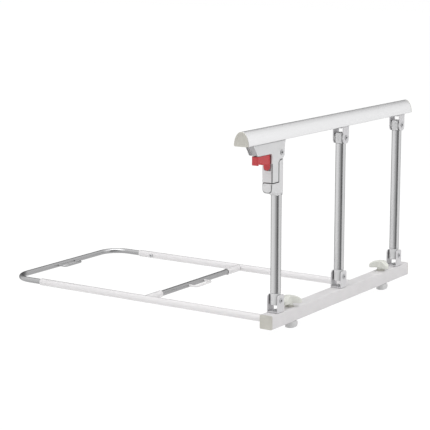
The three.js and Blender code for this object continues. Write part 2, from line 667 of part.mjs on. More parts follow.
/** The coil between the bolt's top and the roof of its channel. */
function latchSpring() {
  const { coilRadius, wireRadius, length, turns, stepsPerTurn, wireSides } = springShape;
  const count = turns * stepsPerTurn;
  const rise = length - 2 * wireRadius;
  const points = Array.from({ length: count + 1 }, (_, step) => {
    const angle = 2 * Math.PI * step / stepsPerTurn;
    const height = wireRadius + rise * step / count;
    return new THREE.Vector3(coilRadius * Math.cos(angle), coilRadius * Math.sin(angle), height);
  });
  return piece('latch_spring', sweep(points, circle(wireRadius, wireSides)), rivetSteel,
    -boltShape.centreReach, 0, -boltShape.topDrop + clearance);
}

function housingScrews() {
  const depth = pivot.belowRail + rail.wall + screw.headThickness - housingScrewDeck;
  return Object.entries(housingScrewReaches).map(([name, reach]) => {
    const seat = housingScrewDeck - clearance;
    const mesh = piece(`housing_screw_${name}`, panScrew(depth), rivetSteel, -reach, 0, seat);
    mesh.rotation.x = Math.PI;
    return mesh;
  });
}

function latchAssembly() {
  return groupAt(stations.front, 0, upperPinZ, [
    latchHousing(), releaseTrigger(), latchBolt(), latchSpring(), ...housingScrews(),
    pivotPin('upper_pivot_pin_front', 2 * castHalfWidth, 0, 0)]);
}

// Handrail

const railStart = -rail.frontOverhang;
const railEnd = stations.rear + rail.rearOverhang;
const railOutline = () => domeOutline(rail.width / 2, rail.height, rail.edgeRadius);

/** The D of the rail's inside, drawn in from the outer D by the given distance. */
function innerDome(inset) {
  const halfWidth = rail.width / 2 - inset;
  const height = rail.height - inset;
  const start = Math.asin(inset / height);
  return Array.from({ length: roundSteps + 1 }, (_, step) => {
    const angle = start + (Math.PI - 2 * start) * step / roundSteps;
    return new THREE.Vector2(halfWidth * Math.cos(angle), height * Math.sin(angle));
  });
}

function handrail() {
  const start = railStart + endCap.thickness + clearance;
  const end = railEnd - endCap.thickness - clearance;
  const tube = lengthwisePrism(railOutline(), end - start, innerDome(rail.wall)).translate(start, 0, 0);
  const housingScrewPlaces = Object.values(housingScrewReaches).map((reach) => -reach);
  const screwPlaces = [...housingScrewPlaces, stations.middle, stations.rear];
  const holes = screwPlaces.map((x) => pegUp(screwBore, -overrun, rail.wall + overrun).translate(x, 0, 0));
  return piece('handrail', cut(tube, holes), railPaint, 0, 0, railZ);
}

function railCap(name, x, side) {
  const cover = lengthwisePrism(railOutline(), endCap.thickness);
  const plug = lengthwisePrism(innerDome(rail.wall + clearance), endCap.thickness + endCap.plugDepth);
  const hollow = lengthwisePrism(innerDome(2 * rail.wall + clearance), endCap.plugDepth + overrun)
    .translate(endCap.thickness, 0, 0);
  const mesh = piece(name, cut(join([cover, plug]), [hollow]), creamPlastic, x, 0, railZ);
  mesh.rotation.z = side > 0 ? 0 : Math.PI;
  return mesh;
}

// Frame under the mattress

/** A tube from inside the beam toward the bed, with a threaded hole for its lock screw. */
function frameSideTube(name, x, inward) {
  const start = beam.width / 2 - beam.wall - sideTube.insideBeam;
  const bore = circle(sideTube.radius - sideTube.wall);
  const tube = bedwardPrism(circle(sideTube.radius), sideTube.reach - start, bore).translate(0, start, 0);
  const screwHole = pegAlong(screwBore, sideTube.radius + overrun)
    .translate(inward * (sideTube.radius + overrun) / 2, lockScrewReach, 0);
  return piece(`side_tube_${name}`, cut(tube, [screwHole]), frameWhite, x, 0, frameZ);
}

function sideTubeLockScrew(name, x, inward) {
  const depth = sideTube.radius - frameEnd.radius;
  const mesh = piece(`lock_screw_${name}`, panScrew(depth), rivetSteel,
    x + inward * (sideTube.radius + clearance), lockScrewReach, frameZ);
  mesh.rotation.y = inward * Math.PI / 2;
  return mesh;
}

/** A stub of the side tube's size, coped to fit against it, that takes the cross bar's end. */
function crossBarSocket(name, x, inward) {
  const bore = circle(sideTube.radius - sideTube.wall);
  const tube = lengthwisePrism(circle(sideTube.radius), crossBar.socketReach, bore);
  const cope = pegAcross(sideTube.radius + clearance, 2 * sideTube.radius + 2 * overrun);
  const mesh = piece(`cross_bar_socket_${name}`, cut(tube, [cope]), frameWhite, x, crossBar.reach, frameZ);
  mesh.rotation.z = inward > 0 ? 0 : Math.PI;
  return mesh;
}

function crossBarTube() {
  const inset = crossBar.socketReach - crossBar.insertion;
  const tube = lengthwisePrism(
    circle(crossBar.radius), sideTube.spacing - 2 * inset, circle(crossBar.radius - crossBar.wall));
  return piece('cross_bar', tube, darkSteel, sideTube.frontX + inset, crossBar.reach, frameZ);
}

/** A bent rod for a strap. Its legs start at the surface of the tube that it is welded to. */
function strapLoopRod(name, tubeRadius, material, reach) {
  const start = tubeRadius + clearance;
  const { halfWidth, depth, rodRadius, bendRadius } = strapLoop;
  const rod = sweep(uRoute(halfWidth - rodRadius, depth - start, bendRadius), circle(rodRadius, rodSides));
  const mesh = piece(name, rod, material, (sideTube.frontX + rearTubeX) / 2, reach - start, frameZ);
  mesh.rotation.z = Math.PI;
  return mesh;
}

/** The U-shaped tube whose legs slide in the two side tubes. */
function frameEndTube() {
  const start = sideTube.reach - frameEnd.overlapLength;
  const tube = sweep(uRoute(sideTube.spacing / 2, frameEnd.reach - start, frameEnd.bendRadius),
    circle(frameEnd.radius, tubeSides), circle(frameEnd.radius - frameEnd.wall, tubeSides));
  return piece('frame_end_tube', tube, darkSteel, (sideTube.frontX + rearTubeX) / 2, start, frameZ);
}

// Clamps

function clampCollar(name) {
  const ring = upPrism(circle(collar.radius), collar.thickness, circle(studBore));
  return piece(`clamp_collar_${name}`, ring, creamPlastic, clampPlaces[name], 0, beamTop + clearance);
}

/** A knob with rounded wings under a dome, on a hub that stands on the collar. */
function clampKnob(name) {
  const base = collar.thickness + 2 * clearance;
  const wingShape = [
    ...arc(knob.reach - knob.wingRadius, 0, knob.wingRadius, -90, 90, bendSteps),
    new THREE.Vector2(0, knob.wingRadius), new THREE.Vector2(0, -knob.wingRadius),
  ];
  const height = knob.top - knob.wingUnderside;
  const wings = Array.from({ length: knob.wings }, (_, index) => upPrism(wingShape, height)
    .rotateZ(2 * Math.PI * index / knob.wings));
  const star = join([pegUp(knob.hubRadius, 0, height), ...wings]).translate(0, 0, knob.wingUnderside);
  const domeProfile = arc(0, 0, knob.domeRadius, 0, 90, bendSteps).slice(0, -1)
    .map((point) => [point.x, point.y * height / knob.domeRadius]);
  const dome = turned([[0, 0], ...domeProfile, [0, height]])
    .rotateX(Math.PI / 2).translate(0, 0, knob.wingUnderside);
  const hub = pegUp(knob.hubRadius, base, knob.wingUnderside + clearance);
  const solid = cut(join([common(star, dome), hub]), [pegUp(studBore, 0, knob.boreTop)]);
  const mesh = piece(`clamp_knob_${name}`, solid, ivoryPlastic, clampPlaces[name], 0, beamTop);
  mesh.rotation.z = degrees(knob.restAngles[name]);
  return mesh;
}

/** The stud that the knob draws up, with its head in the jaw's underside. */
function clampStud(name) {
  const bottom = -jaw.gap - jaw.thickness + clearance;
  const top = beamTop + knob.studTop;
  const headTop = bottom + clamp.studHeadThickness;
  const stud = turned([
    [0, bottom], [clamp.studHeadRadius, bottom], [clamp.studHeadRadius, headTop],
    [clamp.studRadius, headTop], [clamp.studRadius, top], [0, top]]).rotateX(Math.PI / 2);
  return piece(`clamp_stud_${name}`, stud, rivetSteel, clampPlaces[name]);
}

/** A block with a rounded toe that is drawn up under the bed's side board. */
function clampJaw(name) {
  const bottom = -jaw.gap - jaw.thickness;
  const toeRadius = jaw.thickness / 2;
  const outline = [
    new THREE.Vector2(-jaw.heel, bottom),
    ...arc(jaw.toe - toeRadius, bottom + toeRadius, toeRadius, -90, 90, bendSteps),
    new THREE.Vector2(-jaw.heel, -jaw.gap)];
  const recessTop = bottom + clamp.studHeadThickness + 2 * clearance;
  const heelCentre = jaw.halfWidth - jaw.heel;
  const plan = upPrism([
    ...arc(heelCentre, 0, jaw.halfWidth, 90, 270, 2 * bendSteps),
    new THREE.Vector2(jaw.toe, -jaw.halfWidth), new THREE.Vector2(jaw.toe, jaw.halfWidth),
  ], jaw.thickness).translate(0, 0, bottom);
  const solid = cut(common(sidePrism(outline, 2 * jaw.halfWidth), plan), [
    pegUp(studBore, bottom - overrun, overrun),
    pegUp(clamp.studHeadRadius + clearance, bottom - overrun, recessTop)]);
  return piece(`clamp_jaw_${name}`, solid, whitePlastic, clampPlaces[name]);
}

const clampAssembly = (name) => [clampCollar(name), clampKnob(name), clampStud(name), clampJaw(name)];

// The whole rail

const sideNames = { front: [sideTube.frontX, 1], rear: [rearTubeX, -1] };
const sides = Object.entries(sideNames);

const model = new THREE.Group();
model.add(
  baseBeam(),
  beamCap('beam_cap_front', beamStart, 1),
  beamCap('beam_cap_rear', beamEnd, -1),
  ...Object.keys(stations).map(lowerPivot),
  ...Object.keys(stations).map(foldingPost),
  handrail(),
  railCap('rail_cap_front', railStart, 1),
  railCap('rail_cap_rear', railEnd, -1),
  upperPivot('middle'),
  upperPivot('rear'),
  latchAssembly(),
  ...sides.map(([name, [x, inward]]) => frameSideTube(name, x, inward)),
  ...sides.map(([name, [x, inward]]) => sideTubeLockScrew(name, x, inward)),
  ...sides.map(([name, [x, inward]]) => crossBarSocket(name, x, inward)),
  crossBarTube(),
  strapLoopRod('cross_bar_loop', crossBar.radius, frameWhite, crossBar.reach),
  frameEndTube(),
  strapLoopRod('frame_end_loop', frameEnd.radius, darkSteel, frameEnd.reach),
  ...Object.keys(clampPlaces).flatMap(clampAssembly),
);

// The origin is at the middle of the base of the whole rail.
const bounds = new THREE.Box3().setFromObject(model, true);
const middle = bounds.getCenter(new THREE.Vector3());
model.position.set(-middle.x, -middle.y, -bounds.min.z);
model.updateMatrixWorld(true);

export default model;
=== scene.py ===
"""The looks of the folding bed guard rail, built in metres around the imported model."""
import logging
import math
from collections.abc import Callable, Sequence
from dataclasses import dataclass, field
from enum import Enum

import bmesh
import bpy
from mathutils import Euler, Matrix, Vector
from mathutils.bvhtree import BVHTree
from mathutils.geometry import intersect_point_line


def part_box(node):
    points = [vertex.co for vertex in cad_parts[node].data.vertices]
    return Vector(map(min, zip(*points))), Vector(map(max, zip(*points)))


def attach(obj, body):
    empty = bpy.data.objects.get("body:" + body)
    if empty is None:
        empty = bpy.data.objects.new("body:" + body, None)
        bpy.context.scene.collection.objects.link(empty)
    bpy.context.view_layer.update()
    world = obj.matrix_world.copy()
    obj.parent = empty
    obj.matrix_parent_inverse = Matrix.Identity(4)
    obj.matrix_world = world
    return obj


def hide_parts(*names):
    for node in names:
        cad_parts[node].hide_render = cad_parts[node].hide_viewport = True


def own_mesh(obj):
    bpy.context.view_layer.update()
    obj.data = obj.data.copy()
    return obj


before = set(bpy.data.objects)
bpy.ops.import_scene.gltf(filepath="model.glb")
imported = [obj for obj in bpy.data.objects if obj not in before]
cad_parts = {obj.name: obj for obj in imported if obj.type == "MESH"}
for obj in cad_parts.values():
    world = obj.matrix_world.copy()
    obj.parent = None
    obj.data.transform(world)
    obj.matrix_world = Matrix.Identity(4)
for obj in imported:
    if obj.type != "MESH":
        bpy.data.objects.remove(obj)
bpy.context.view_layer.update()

LOG = logging.getLogger("bed_rail")

MM = 0.001
GAP = 0.3 * MM
QUARTER = math.pi / 2
MERGE, CAD_MERGE, SLIVER = 1e-7, 2e-6, 1e-8
BEVEL_STEPS, BEND_STEPS, EASE_SHARE = 2, 14, 0.3
FLAT, SHARP, BEVEL_SHARP, ROD_SHARP, CAST_SHARP = 0.4, 32.0, 34.0, 40.0, 60.0
PAINTED_SEAM_SHADE = "seam"
STATIONS = ("front", "middle", "rear")
SIDES = ("front", "rear")
OUTWARD = {"front": -1, "rear": 1}

Piece = bpy.types.Object
Socket = bpy.types.NodeSocket
Point = tuple[float, float, float]
Points = Sequence[Sequence[float]]
Corners = Sequence[Sequence[int]]
Outline = list[tuple[float, float]]


# Finishes


class Grain(Enum):
    """The kinds of fine surface that the rail's finishes have."""

    PAINT = "paint"
    CAST = "cast"
    DRAWN = "drawn"
    MOULDED = "moulded"


@dataclass(frozen=True)
class Finish:
    """One finish of the rail, with the slot of the record that it belongs to."""

    name: str
    slot: str
    colour: str
    roughness: float
    metallic: float = 0.0
    grain: Grain = Grain.PAINT
    grain_scale: float = 900.0
    grain_depth: float = 0.00002
    draw_axis: Point = (1.0, 1.0, 1.0)
    tone: float = 0.05
    rough_change: float = 0.08
    # Painted shade: the colour that corners, creases, holes and grooves are darkened towards, how far the
    # occlusion that finds them reaches, and how much of it is painted.
    painted_shade: str = "#5A5A58"
    painted_shade_reach: float = 0.0035
    painted_shade_share: float = 0.75
    coat: float = 0.0


BEAM_PAINT = Finish("beam_paint", "beam_paint", "#DCDADB", 0.42, grain_scale=1100.0, tone=0.03)
RAIL_SATIN = Finish(
    "rail_satin", "rail_paint", "#FCFCFD", 0.24, metallic=0.8, grain=Grain.DRAWN,
    draw_axis=(0.02, 1.0, 1.0), grain_scale=2600.0, grain_depth=0.000003, tone=0.015, rough_change=0.02)
CAP_CREAM = Finish(
    "cap_cream", "cap_cream", "#C6C4BC", 0.55, grain=Grain.MOULDED, grain_scale=1500.0, tone=0.06)
POST_ALUMINIUM = Finish(
    "post_aluminium", "post_aluminium", "#D6D6D7", 0.22, metallic=1.0, grain=Grain.DRAWN,
    draw_axis=(1.0, 1.0, 0.015), grain_scale=3000.0, grain_depth=0.000003, tone=0.02, rough_change=0.03)
CAST_GREY = Finish(
    "cast_grey", "cast_grey", "#DBDBDC", 0.46, metallic=0.1, grain=Grain.CAST, grain_scale=1300.0,
    grain_depth=0.00003, tone=0.03, painted_shade="#3E3E3F", painted_shade_reach=0.007, painted_shade_share=0.8)
BRACKET_STEEL = Finish("bracket_steel", "bracket_steel", "#D9D8DA", 0.40, metallic=0.2, grain_scale=1200.0)
FASTENER_STEEL = Finish(
    "fastener_steel", "fastener_steel", "#CDCDCF", 0.34, metallic=0.7, grain=Grain.DRAWN,
    grain_scale=2200.0, painted_shade="#1E1E1F", painted_shade_share=0.95)
FRAME_WHITE = Finish(
    "frame_white", "frame_white", "#E1DFE0", 0.24, grain_scale=800.0, coat=0.5, tone=0.01, rough_change=0.02)
FRAME_STEEL = Finish(
    "frame_steel", "frame_steel", "#B4B4B5", 0.16, metallic=0.95, grain=Grain.DRAWN,
    draw_axis=(1.0, 0.3, 1.0), grain_scale=2400.0, grain_depth=0.000003, tone=0.04, rough_change=0.03)
# The knob's painted shade is olive and the trigger's dark red, as their shade in creases looks.
KNOB_IVORY = Finish(
    "knob_ivory", "knob_ivory", "#DEDFD8", 0.44, grain=Grain.MOULDED, grain_scale=1400.0, painted_shade="#7C7A68")
TRIGGER_RED = Finish(
    "trigger_red", "trigger_red", "#CA4247", 0.42, grain=Grain.MOULDED, grain_scale=1600.0, tone=0.08,
    painted_shade="#5A1419")
JAW_WHITE = Finish("jaw_white", "jaw_white", "#DCDCDC", 0.50, grain=Grain.MOULDED, grain_scale=1300.0)
WASHER_WHITE = Finish("washer_white", "washer_white", "#E2E2E2", 0.50, grain=Grain.MOULDED, grain_scale=1500.0)


def linear(hex_colour: str) -> tuple[float, ...]:
    """Turns a hex colour into linear light.

    Args:
        hex_colour: six hex digits after a #.

    Returns:
        Red, green, blue and an alpha of 1.
    """
    parts = [int(hex_colour[i:i + 2], 16) / 255 for i in (1, 3, 5)]
    return *[p / 12.92 if p <= 0.04045 else ((p + 0.055) / 1.055) ** 2.4 for p in parts], 1.0


def grey(level: float) -> tuple[float, ...]:
    """A grey of one level, with an alpha of 1."""
    return level, level, level, 1.0


class Graph:
    """Adds and links the nodes of one node tree."""

    def __init__(self, tree: bpy.types.NodeTree) -> None:
        """Keeps the tree, emptied of its default nodes."""
        self.tree = tree
        tree.nodes.clear()

    def add(self, kind: str, settings: dict | None = None, **inputs: object) -> bpy.types.Node:
        """Adds a node.

        Args:
            kind: the node's type name.
            settings: properties to set on the node.
            **inputs: a value or socket for each input, by its name with _ for a space, or by i and a number.

        Returns:
            The new node.
        """
        node = self.tree.nodes.new(kind)
        for key, value in (settings or {}).items():
            setattr(node, key, value)
        for key, value in inputs.items():
            numbered = key[0] == "i" and key[1:].isdigit()
            socket = node.inputs[int(key[1:])] if numbered else node.inputs[key.replace("_", " ")]
            if isinstance(value, Socket):
                self.tree.links.new(value, socket)
            else:
                socket.default_value = value
        return node

    def math(self, operation: str, first: object, second: object) -> Socket:
        """Adds a Math node of two inputs and returns its result."""
        return self.add("ShaderNodeMath", {"operation": operation}, i0=first, i1=second).outputs[0]

    def remap(self, value: object, low: float, high: float, start: float = 0.0, end: float = 1.0) -> Socket:
        """Adds a clamped Map Range node and returns its result."""
        return self.add("ShaderNodeMapRange", i0=value, i1=low, i2=high, i3=start, i4=end).outputs[0]

    def mix(self, share: object, first: object, second: object) -> Socket:
        """Adds a colour Mix node and returns its colour."""
        return self.add("ShaderNodeMix", {"data_type": "RGBA"}, i0=share, i6=first, i7=second).outputs[2]

    def noise(self, place: Socket, scale: object, detail: object, distortion: float = 0.0) -> Socket:
        """Adds a Noise Texture node and returns its value."""
        values = {"Vector": place, "Scale": scale, "Detail": detail, "Distortion": distortion}
        return self.add("ShaderNodeTexNoise", **values).outputs[0]


def new_group(name: str, inputs: dict[str, float | Point], outputs: Sequence[str]) -> tuple[Graph, dict]:
    """Starts a shader node group.

    Args:
        name: the group's name.
        inputs: each input's name and default, where three numbers make a vector.
        outputs: the names of its number outputs.

    Returns:
        The graph, and its input sockets by name.
    """
    tree = bpy.data.node_groups.new(name, "ShaderNodeTree")
    for key, value in inputs.items():
        kind = "NodeSocketVector" if isinstance(value, tuple) else "NodeSocketFloat"
        tree.interface.new_socket(key, in_out="INPUT", socket_type=kind).default_value = value
    for key in outputs:
        tree.interface.new_socket(key, in_out="OUTPUT", socket_type="NodeSocketFloat")
    graph = Graph(tree)
    entry = graph.add("NodeGroupInput")
    return graph, {key: entry.outputs[key] for key in inputs}


class Textures:
    """The shader node groups that the finishes share: even grain, drawn lines and the marks of handling."""

    def __init__(self) -> None:
        """Builds each group once."""
        lines = {"Scale": 2500.0, "Along": (1.0, 1.0, 0.02)}
        self.grain = self._layers("fine_grain", {"Scale": 900.0, "Detail": 3.0}, 0.03, 2.0, 0.7, 0.2)
        self.drawn = self._layers("drawn_lines", lines, 0.15, 1.0, 0.5, 0.15)
        self.handling = self._handling_marks()

    @staticmethod
    def _layers(name: str, inputs: dict[str, float | Point], slow_scale: float, slow_detail: float,
                slow_share: float, spread: float) -> bpy.types.NodeTree:
        """Lays a fine noise over a slow one, as even lumps, or as lines where there is an Along input.

        Args:
            name: the group's name.
            inputs: its inputs and their defaults.
            slow_scale: the slow noise's scale, as a share of the fine one's.
            slow_detail: the slow noise's detail.
            slow_share: how much of the tone is slow.
            spread: how far the noise runs to each side of its middle over the whole tone.

        Returns:
            The group.
        """
        graph, sockets = new_group(name, inputs, ["Height", "Tone"])
        place = graph.add("ShaderNodeTexCoord").outputs["Object"]
        if "Along" in sockets:
            product = {"operation": "MULTIPLY"}
            place = graph.add("ShaderNodeVectorMath", product, i0=place, i1=sockets["Along"]).outputs[0]
        fine = graph.noise(place, sockets["Scale"], sockets.get("Detail", 2.0))
        slow = graph.noise(place, graph.math("MULTIPLY", sockets["Scale"], slow_scale), slow_detail)
        fine_part = graph.math("MULTIPLY", fine, 1 - slow_share)
        tone = graph.math("ADD", graph.math("MULTIPLY", slow, slow_share), fine_part)
        graph.add("NodeGroupOutput", Height=fine, Tone=graph.remap(tone, 0.5 - spread, 0.5 + spread))
        return graph.tree

    @staticmethod
    def _handling_marks() -> bpy.types.NodeTree:
        """Makes wide soft smudges and small rubbed spots, which change how rough a surface is.

        Returns:
            The group.
        """
        graph, sockets = new_group("handling_marks", {"Scale": 24.0}, ["Smudge", "Scuff"])
        place = graph.add("ShaderNodeTexCoord").outputs["Object"]
        smudge = graph.noise(place, sockets["Scale"], 4.0)
        fine = graph.noise(place, graph.math("MULTIPLY", sockets["Scale"], 9.0), 3.0, 1.2)
        scuff = graph.math("MULTIPLY", graph.remap(fine, 0.60, 0.75), smudge)
        graph.add("NodeGroupOutput", Smudge=graph.remap(smudge, 0.35, 0.7), Scuff=scuff)
        return graph.tree


class Workshop:
    """Builds each finish once, and fits each piece to its body."""

    painted_seam_shade_share = 0.85
    scuff_share = 0.4
    cast_detail = 5.0
    plain_detail = 2.5
    bump_strength = 0.6
    coat_roughness = 0.12
    air_samples = 8
    air_range = (0.2, 0.8)

    def __init__(self) -> None:
        """Starts with no material made."""
        self.textures = Textures()
        self._made: dict[str, bpy.types.Material] = {}

    def material(self, finish: Finish) -> bpy.types.Material:
        """Gives the material of a finish, and builds it the first time."""
        self._made[finish.name] = self._made.get(finish.name) or self._build(finish)
        return self._made[finish.name]

    def _build(self, finish: Finish) -> bpy.types.Material:
        """Builds the material of one finish.

        Args:
            finish: the finish to build.

        Returns:
            The new material.
        """
        material = bpy.data.materials.new(finish.name)
        material.use_nodes = True
        graph = Graph(material.node_tree)
        if finish.grain is Grain.DRAWN:
            group, own = self.textures.drawn, {"Along": finish.draw_axis}
        else:
            detail = self.cast_detail if finish.grain is Grain.CAST else self.plain_detail
            group, own = self.textures.grain, {"Detail": detail}
        surface = graph.add("ShaderNodeGroup", {"node_tree": group}, Scale=finish.grain_scale, **own).outputs
        marks = graph.add("ShaderNodeGroup", {"node_tree": self.textures.handling}).outputs
        base = linear(finish.colour)
        shade = tuple(c * (1 - 2 * finish.tone) for c in base[:3]) + (1.0,)
        toned = graph.mix(surface["Tone"], shade, base)
        # Painted shade: ambient occlusion darkens corners, creases and holes towards the painted shade colour,
        # and the painted seam shade attribute darkens grooves and joints.
        samples = {"samples": self.air_samples}
        air = graph.add("ShaderNodeAmbientOcclusion", samples, Distance=finish.painted_shade_reach).outputs["AO"]
        hollow = graph.remap(air, *self.air_range, 1.0, 0.0)
        seam = graph.add("ShaderNodeAttribute", {"attribute_type": "GEOMETRY", "attribute_name": PAINTED_SEAM_SHADE})
        line = graph.math("MULTIPLY", seam.outputs["Fac"], self.painted_seam_shade_share)
        closed = graph.math("MAXIMUM", graph.math("MULTIPLY", hollow, finish.painted_shade_share), line)
        colour = graph.mix(closed, toned, linear(finish.painted_shade))
        change = graph.math("MULTIPLY", marks["Smudge"], finish.rough_change)
        scuffed = graph.math("MULTIPLY", marks["Scuff"], self.scuff_share * finish.rough_change)
        least = finish.roughness - finish.rough_change / 2
        rough = graph.math("ADD", graph.math("ADD", change, scuffed), least)
        relief = {"Strength": self.bump_strength, "Distance": finish.grain_depth}
        bump = graph.add("ShaderNodeBump", Height=surface["Height"], **relief)
        shader = graph.add(
            "ShaderNodeBsdfPrincipled", Base_Color=colour, Roughness=rough, Metallic=finish.metallic,
            Normal=bump.outputs[0], Coat_Weight=finish.coat, Coat_Roughness=self.coat_roughness)
        graph.add("ShaderNodeOutputMaterial", Surface=shader.outputs[0])
        return material

    def fit(self, piece: Piece, body: str, finish: Finish, *nodes: str) -> Piece:
        """Dresses a piece and fits it to its body.

        Args:
            piece: the finished piece, in its place.
            body: the body that it rides on.
            finish: what it is finished in.
            *nodes: the CAD nodes that it stands for.

        Returns:
            The same piece.
        """
        piece.data.materials.clear()
        piece.data.materials.append(self.material(finish))
        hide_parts(*nodes)
        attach(piece, body)
        LOG.info("%s rides on %s, in %s", piece.name, body, finish.name)
        return piece


# Making meshes


def linked(name: str, points: Points, edges: Corners = (), faces: Corners = ()) -> Piece:
    """Puts a new object in the scene, at the origin.

    Args:
        name: its name.
        points: its points.
        edges: its edges, apart from those of its faces.
        faces: its faces.

    Returns:
        The new object.
    """
    mesh = bpy.data.meshes.new(name)
    mesh.from_pydata([tuple(p) for p in points], edges, [tuple(f) for f in faces])
    piece = bpy.data.objects.new(name, mesh)
    bpy.context.scene.collection.objects.link(piece)
    return piece


def baked(piece: Piece) -> Piece:
    """Turns a piece's modifiers into its own mesh.

    Args:
        piece: an object with modifiers.

    Returns:
        The same object, with a plain mesh and no modifier.
    """
    graph = bpy.context.evaluated_depsgraph_get()
    graph.update()
    whole = piece.evaluated_get(graph)
    mesh = bpy.data.meshes.new_from_object(whole, preserve_all_data_layers=True, depsgraph=graph)
    mesh.name = piece.name
    piece.modifiers.clear()
    piece.data = mesh
    return piece


def smooth_by_angle(mesh: bpy.types.Mesh, sharp_degrees: float = SHARP) -> None:
    """Shades a mesh smooth, with sharp edges where its faces turn by more than the given angle."""
    mesh.shade_smooth()
    mesh.set_sharp_from_angle(angle=math.radians(sharp_degrees))


def skin(name: str, points: Points, faces: Corners, flat: bool = False) -> Piece:
    """Makes an object of points and faces, with doubled points merged.

    Args:
        name: the new object's name.
        points: its points.
        faces: its faces.
        flat: whether faces that lie flat together are joined, and all keep their sides. If not, they are
            turned outwards.

    Returns:
        The new object, shaded by angle.
    """
    piece, work = linked(name, points, faces=faces), bmesh.new()
    work.from_mesh(piece.data)
    bmesh.ops.remove_doubles(work, verts=work.verts, dist=CAD_MERGE if flat else MERGE)
    if flat:
        bmesh.ops.dissolve_limit(work, angle_limit=math.radians(FLAT), verts=work.verts, edges=work.edges)
    else:
        bmesh.ops.dissolve_degenerate(work, edges=work.edges, dist=SLIVER)
        bmesh.ops.recalc_face_normals(work, faces=work.faces)
    work.to_mesh(piece.data)
    work.free()
    smooth_by_angle(piece.data)
    return piece


def rings_mesh(name: str, rings: Sequence[Points], ends: bool = True) -> Piece:
    """Joins closed rings of equal counts into a skin.

    Args:
        name: the new object's name.
        rings: the rings, each a list of points.
        ends: whether the first and the last ring are closed.

    Returns:
        The new object.
    """
    count = len(rings[0])
    points = [point for ring in rings for point in ring]
    faces = []
    for low in range(0, len(points) - count, count):
        high = low + count
        faces += [(low + i, low + (i + 1) % count, high + (i + 1) % count, high + i) for i in range(count)]
    if ends:
        faces += [tuple(range(count)), tuple(range(len(points) - count, len(points)))]
    return skin(name, points, faces)


def turned(name: str, profile: Outline, place: Sequence[float] = (0, 0, 0), tilt: float = 0.0,
           segments: int = 64) -> Piece:
    """Turns a profile about its axis.

    Args:
        name: the new object's name.
        profile: radius and height pairs. A closed profile ends where it starts, and others start and end at
            radius 0.
        place: where the profile's zero lies.
        tilt: how far its axis is turned about X, from the upright.
        segments: how many faces go round.

    Returns:
        The new object.
    """
    turn = Matrix.Translation(place) @ Matrix.Rotation(tilt, 4, "X")
    angles = [2 * math.pi * i / segments for i in range(segments)]
    rings = [[turn @ Vector((r * math.cos(a), r * math.sin(a), z)) for a in angles] for r, z in profile]
    return rings_mesh(name, rings, ends=False)


def cad_copy(node: str, name: str) -> Piece:
    """Copies a CAD node as a merged mesh with whole flat faces."""
    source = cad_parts[node].data
    return skin(name, [v.co for v in source.vertices], [p.vertices for p in source.polygons], flat=True)


def cast(node: str, name: str, voxel: float, rounds: int, cutter: Piece | None = None) -> Piece:
    """Copies a CAD node as a casting or moulding whose corners are rounded off all over.

    Args:
        node: the CAD node's name.
        name: the new object's name.
        voxel: the size of the new faces.
        rounds: how often the corners are eased.
        cutter: what to cut away first, if anything. It goes when it has cut.

    Returns:
        The copy.
    """
    piece = cad_copy(node, name)
    if cutter is not None:
        cut = piece.modifiers.new("cut", "BOOLEAN")
        cut.operation, cut.solver, cut.object = "DIFFERENCE", "EXACT", cutter
        baked(piece)
        bpy.data.objects.remove(cutter)
    remesh = piece.modifiers.new("skin", "REMESH")
    remesh.mode, remesh.voxel_size = "VOXEL", voxel
    ease = piece.modifiers.new("ease", "SMOOTH")
    ease.factor, ease.iterations = 0.5, rounds
    baked(piece)
    smooth_by_angle(piece.data, CAST_SHARP)
    return piece


def push_in(piece: Piece, depths: Sequence[float]) -> None:
    """Moves each point of a piece inwards, along its own normal.

    Args:
        piece: the piece.
        depths: how far each point goes.
    """
    normals = [v.normal.copy() for v in piece.data.vertices]
    for vertex, normal, depth in zip(piece.data.vertices, normals, depths):
        vertex.co -= normal * depth
    piece.data.update()


@dataclass(frozen=True)
class Groove:
    """A fine groove, sunk where a casting meets its neighbours and along given lines, with painted shade along
    it.
    """

    half_width: float = 1.5 * MM
    depth: float = 0.5 * MM
    line_share: float = 1.5
    strength: float = 1.9

    def sink(self, piece: Piece, neighbours: Sequence[str], lines: Sequence[tuple[Vector, Vector]],
             shade: Callable[[Vector], float] | None = None) -> Piece:
        """Sinks the groove and paints shade along it, darker nearer its middle.

        Args:
            piece: the casting, with small faces.
            neighbours: the CAD nodes that it meets.
            lines: the ends of straight grooves.
            shade: how much painted shade the casting has at a place, apart from the grooves.

        Returns:
            The same object.
        """
        points, faces = [], []
        for node in neighbours:
            source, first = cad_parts[node].data, len(points)
            points += [tuple(v.co) for v in source.vertices]
            faces += [tuple(first + i for i in p.vertices) for p in source.polygons]
        nearby = BVHTree.FromPolygons(points, faces)
        marks = piece.data.attributes.new(PAINTED_SEAM_SHADE, "FLOAT", "POINT")
        depths = []
        for vertex in piece.data.vertices:
            closeness, distance = 0.0, nearby.find_nearest(vertex.co, self.half_width + GAP)[3]
            if distance is not None:
                closeness = 1 - max(0.0, distance - GAP) / self.half_width
            for start, end in lines:
                share = intersect_point_line(vertex.co, start, end)[1]
                foot = start.lerp(end, min(1.0, max(0.0, share)))
                off = (vertex.co - foot).length
                closeness = max(closeness, 1 - off / (self.line_share * self.half_width))
            extra_shade = shade(vertex.co) if shade else 0.0
            # Painted shade: the mark darkens the groove and its sides, and the places that shade picks out.
            marks.data[vertex.index].value = min(1.0, max(self.strength * closeness, extra_shade))
            depths.append(self.depth * max(0.0, closeness))
        push_in(piece, depths)
        smooth_by_angle(piece.data, CAST_SHARP)
        return piece


def middle_of(node: str) -> Vector:
    """The middle of a CAD node's box."""
    low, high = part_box(node)
    return (low + high) / 2


# Geometry node trees


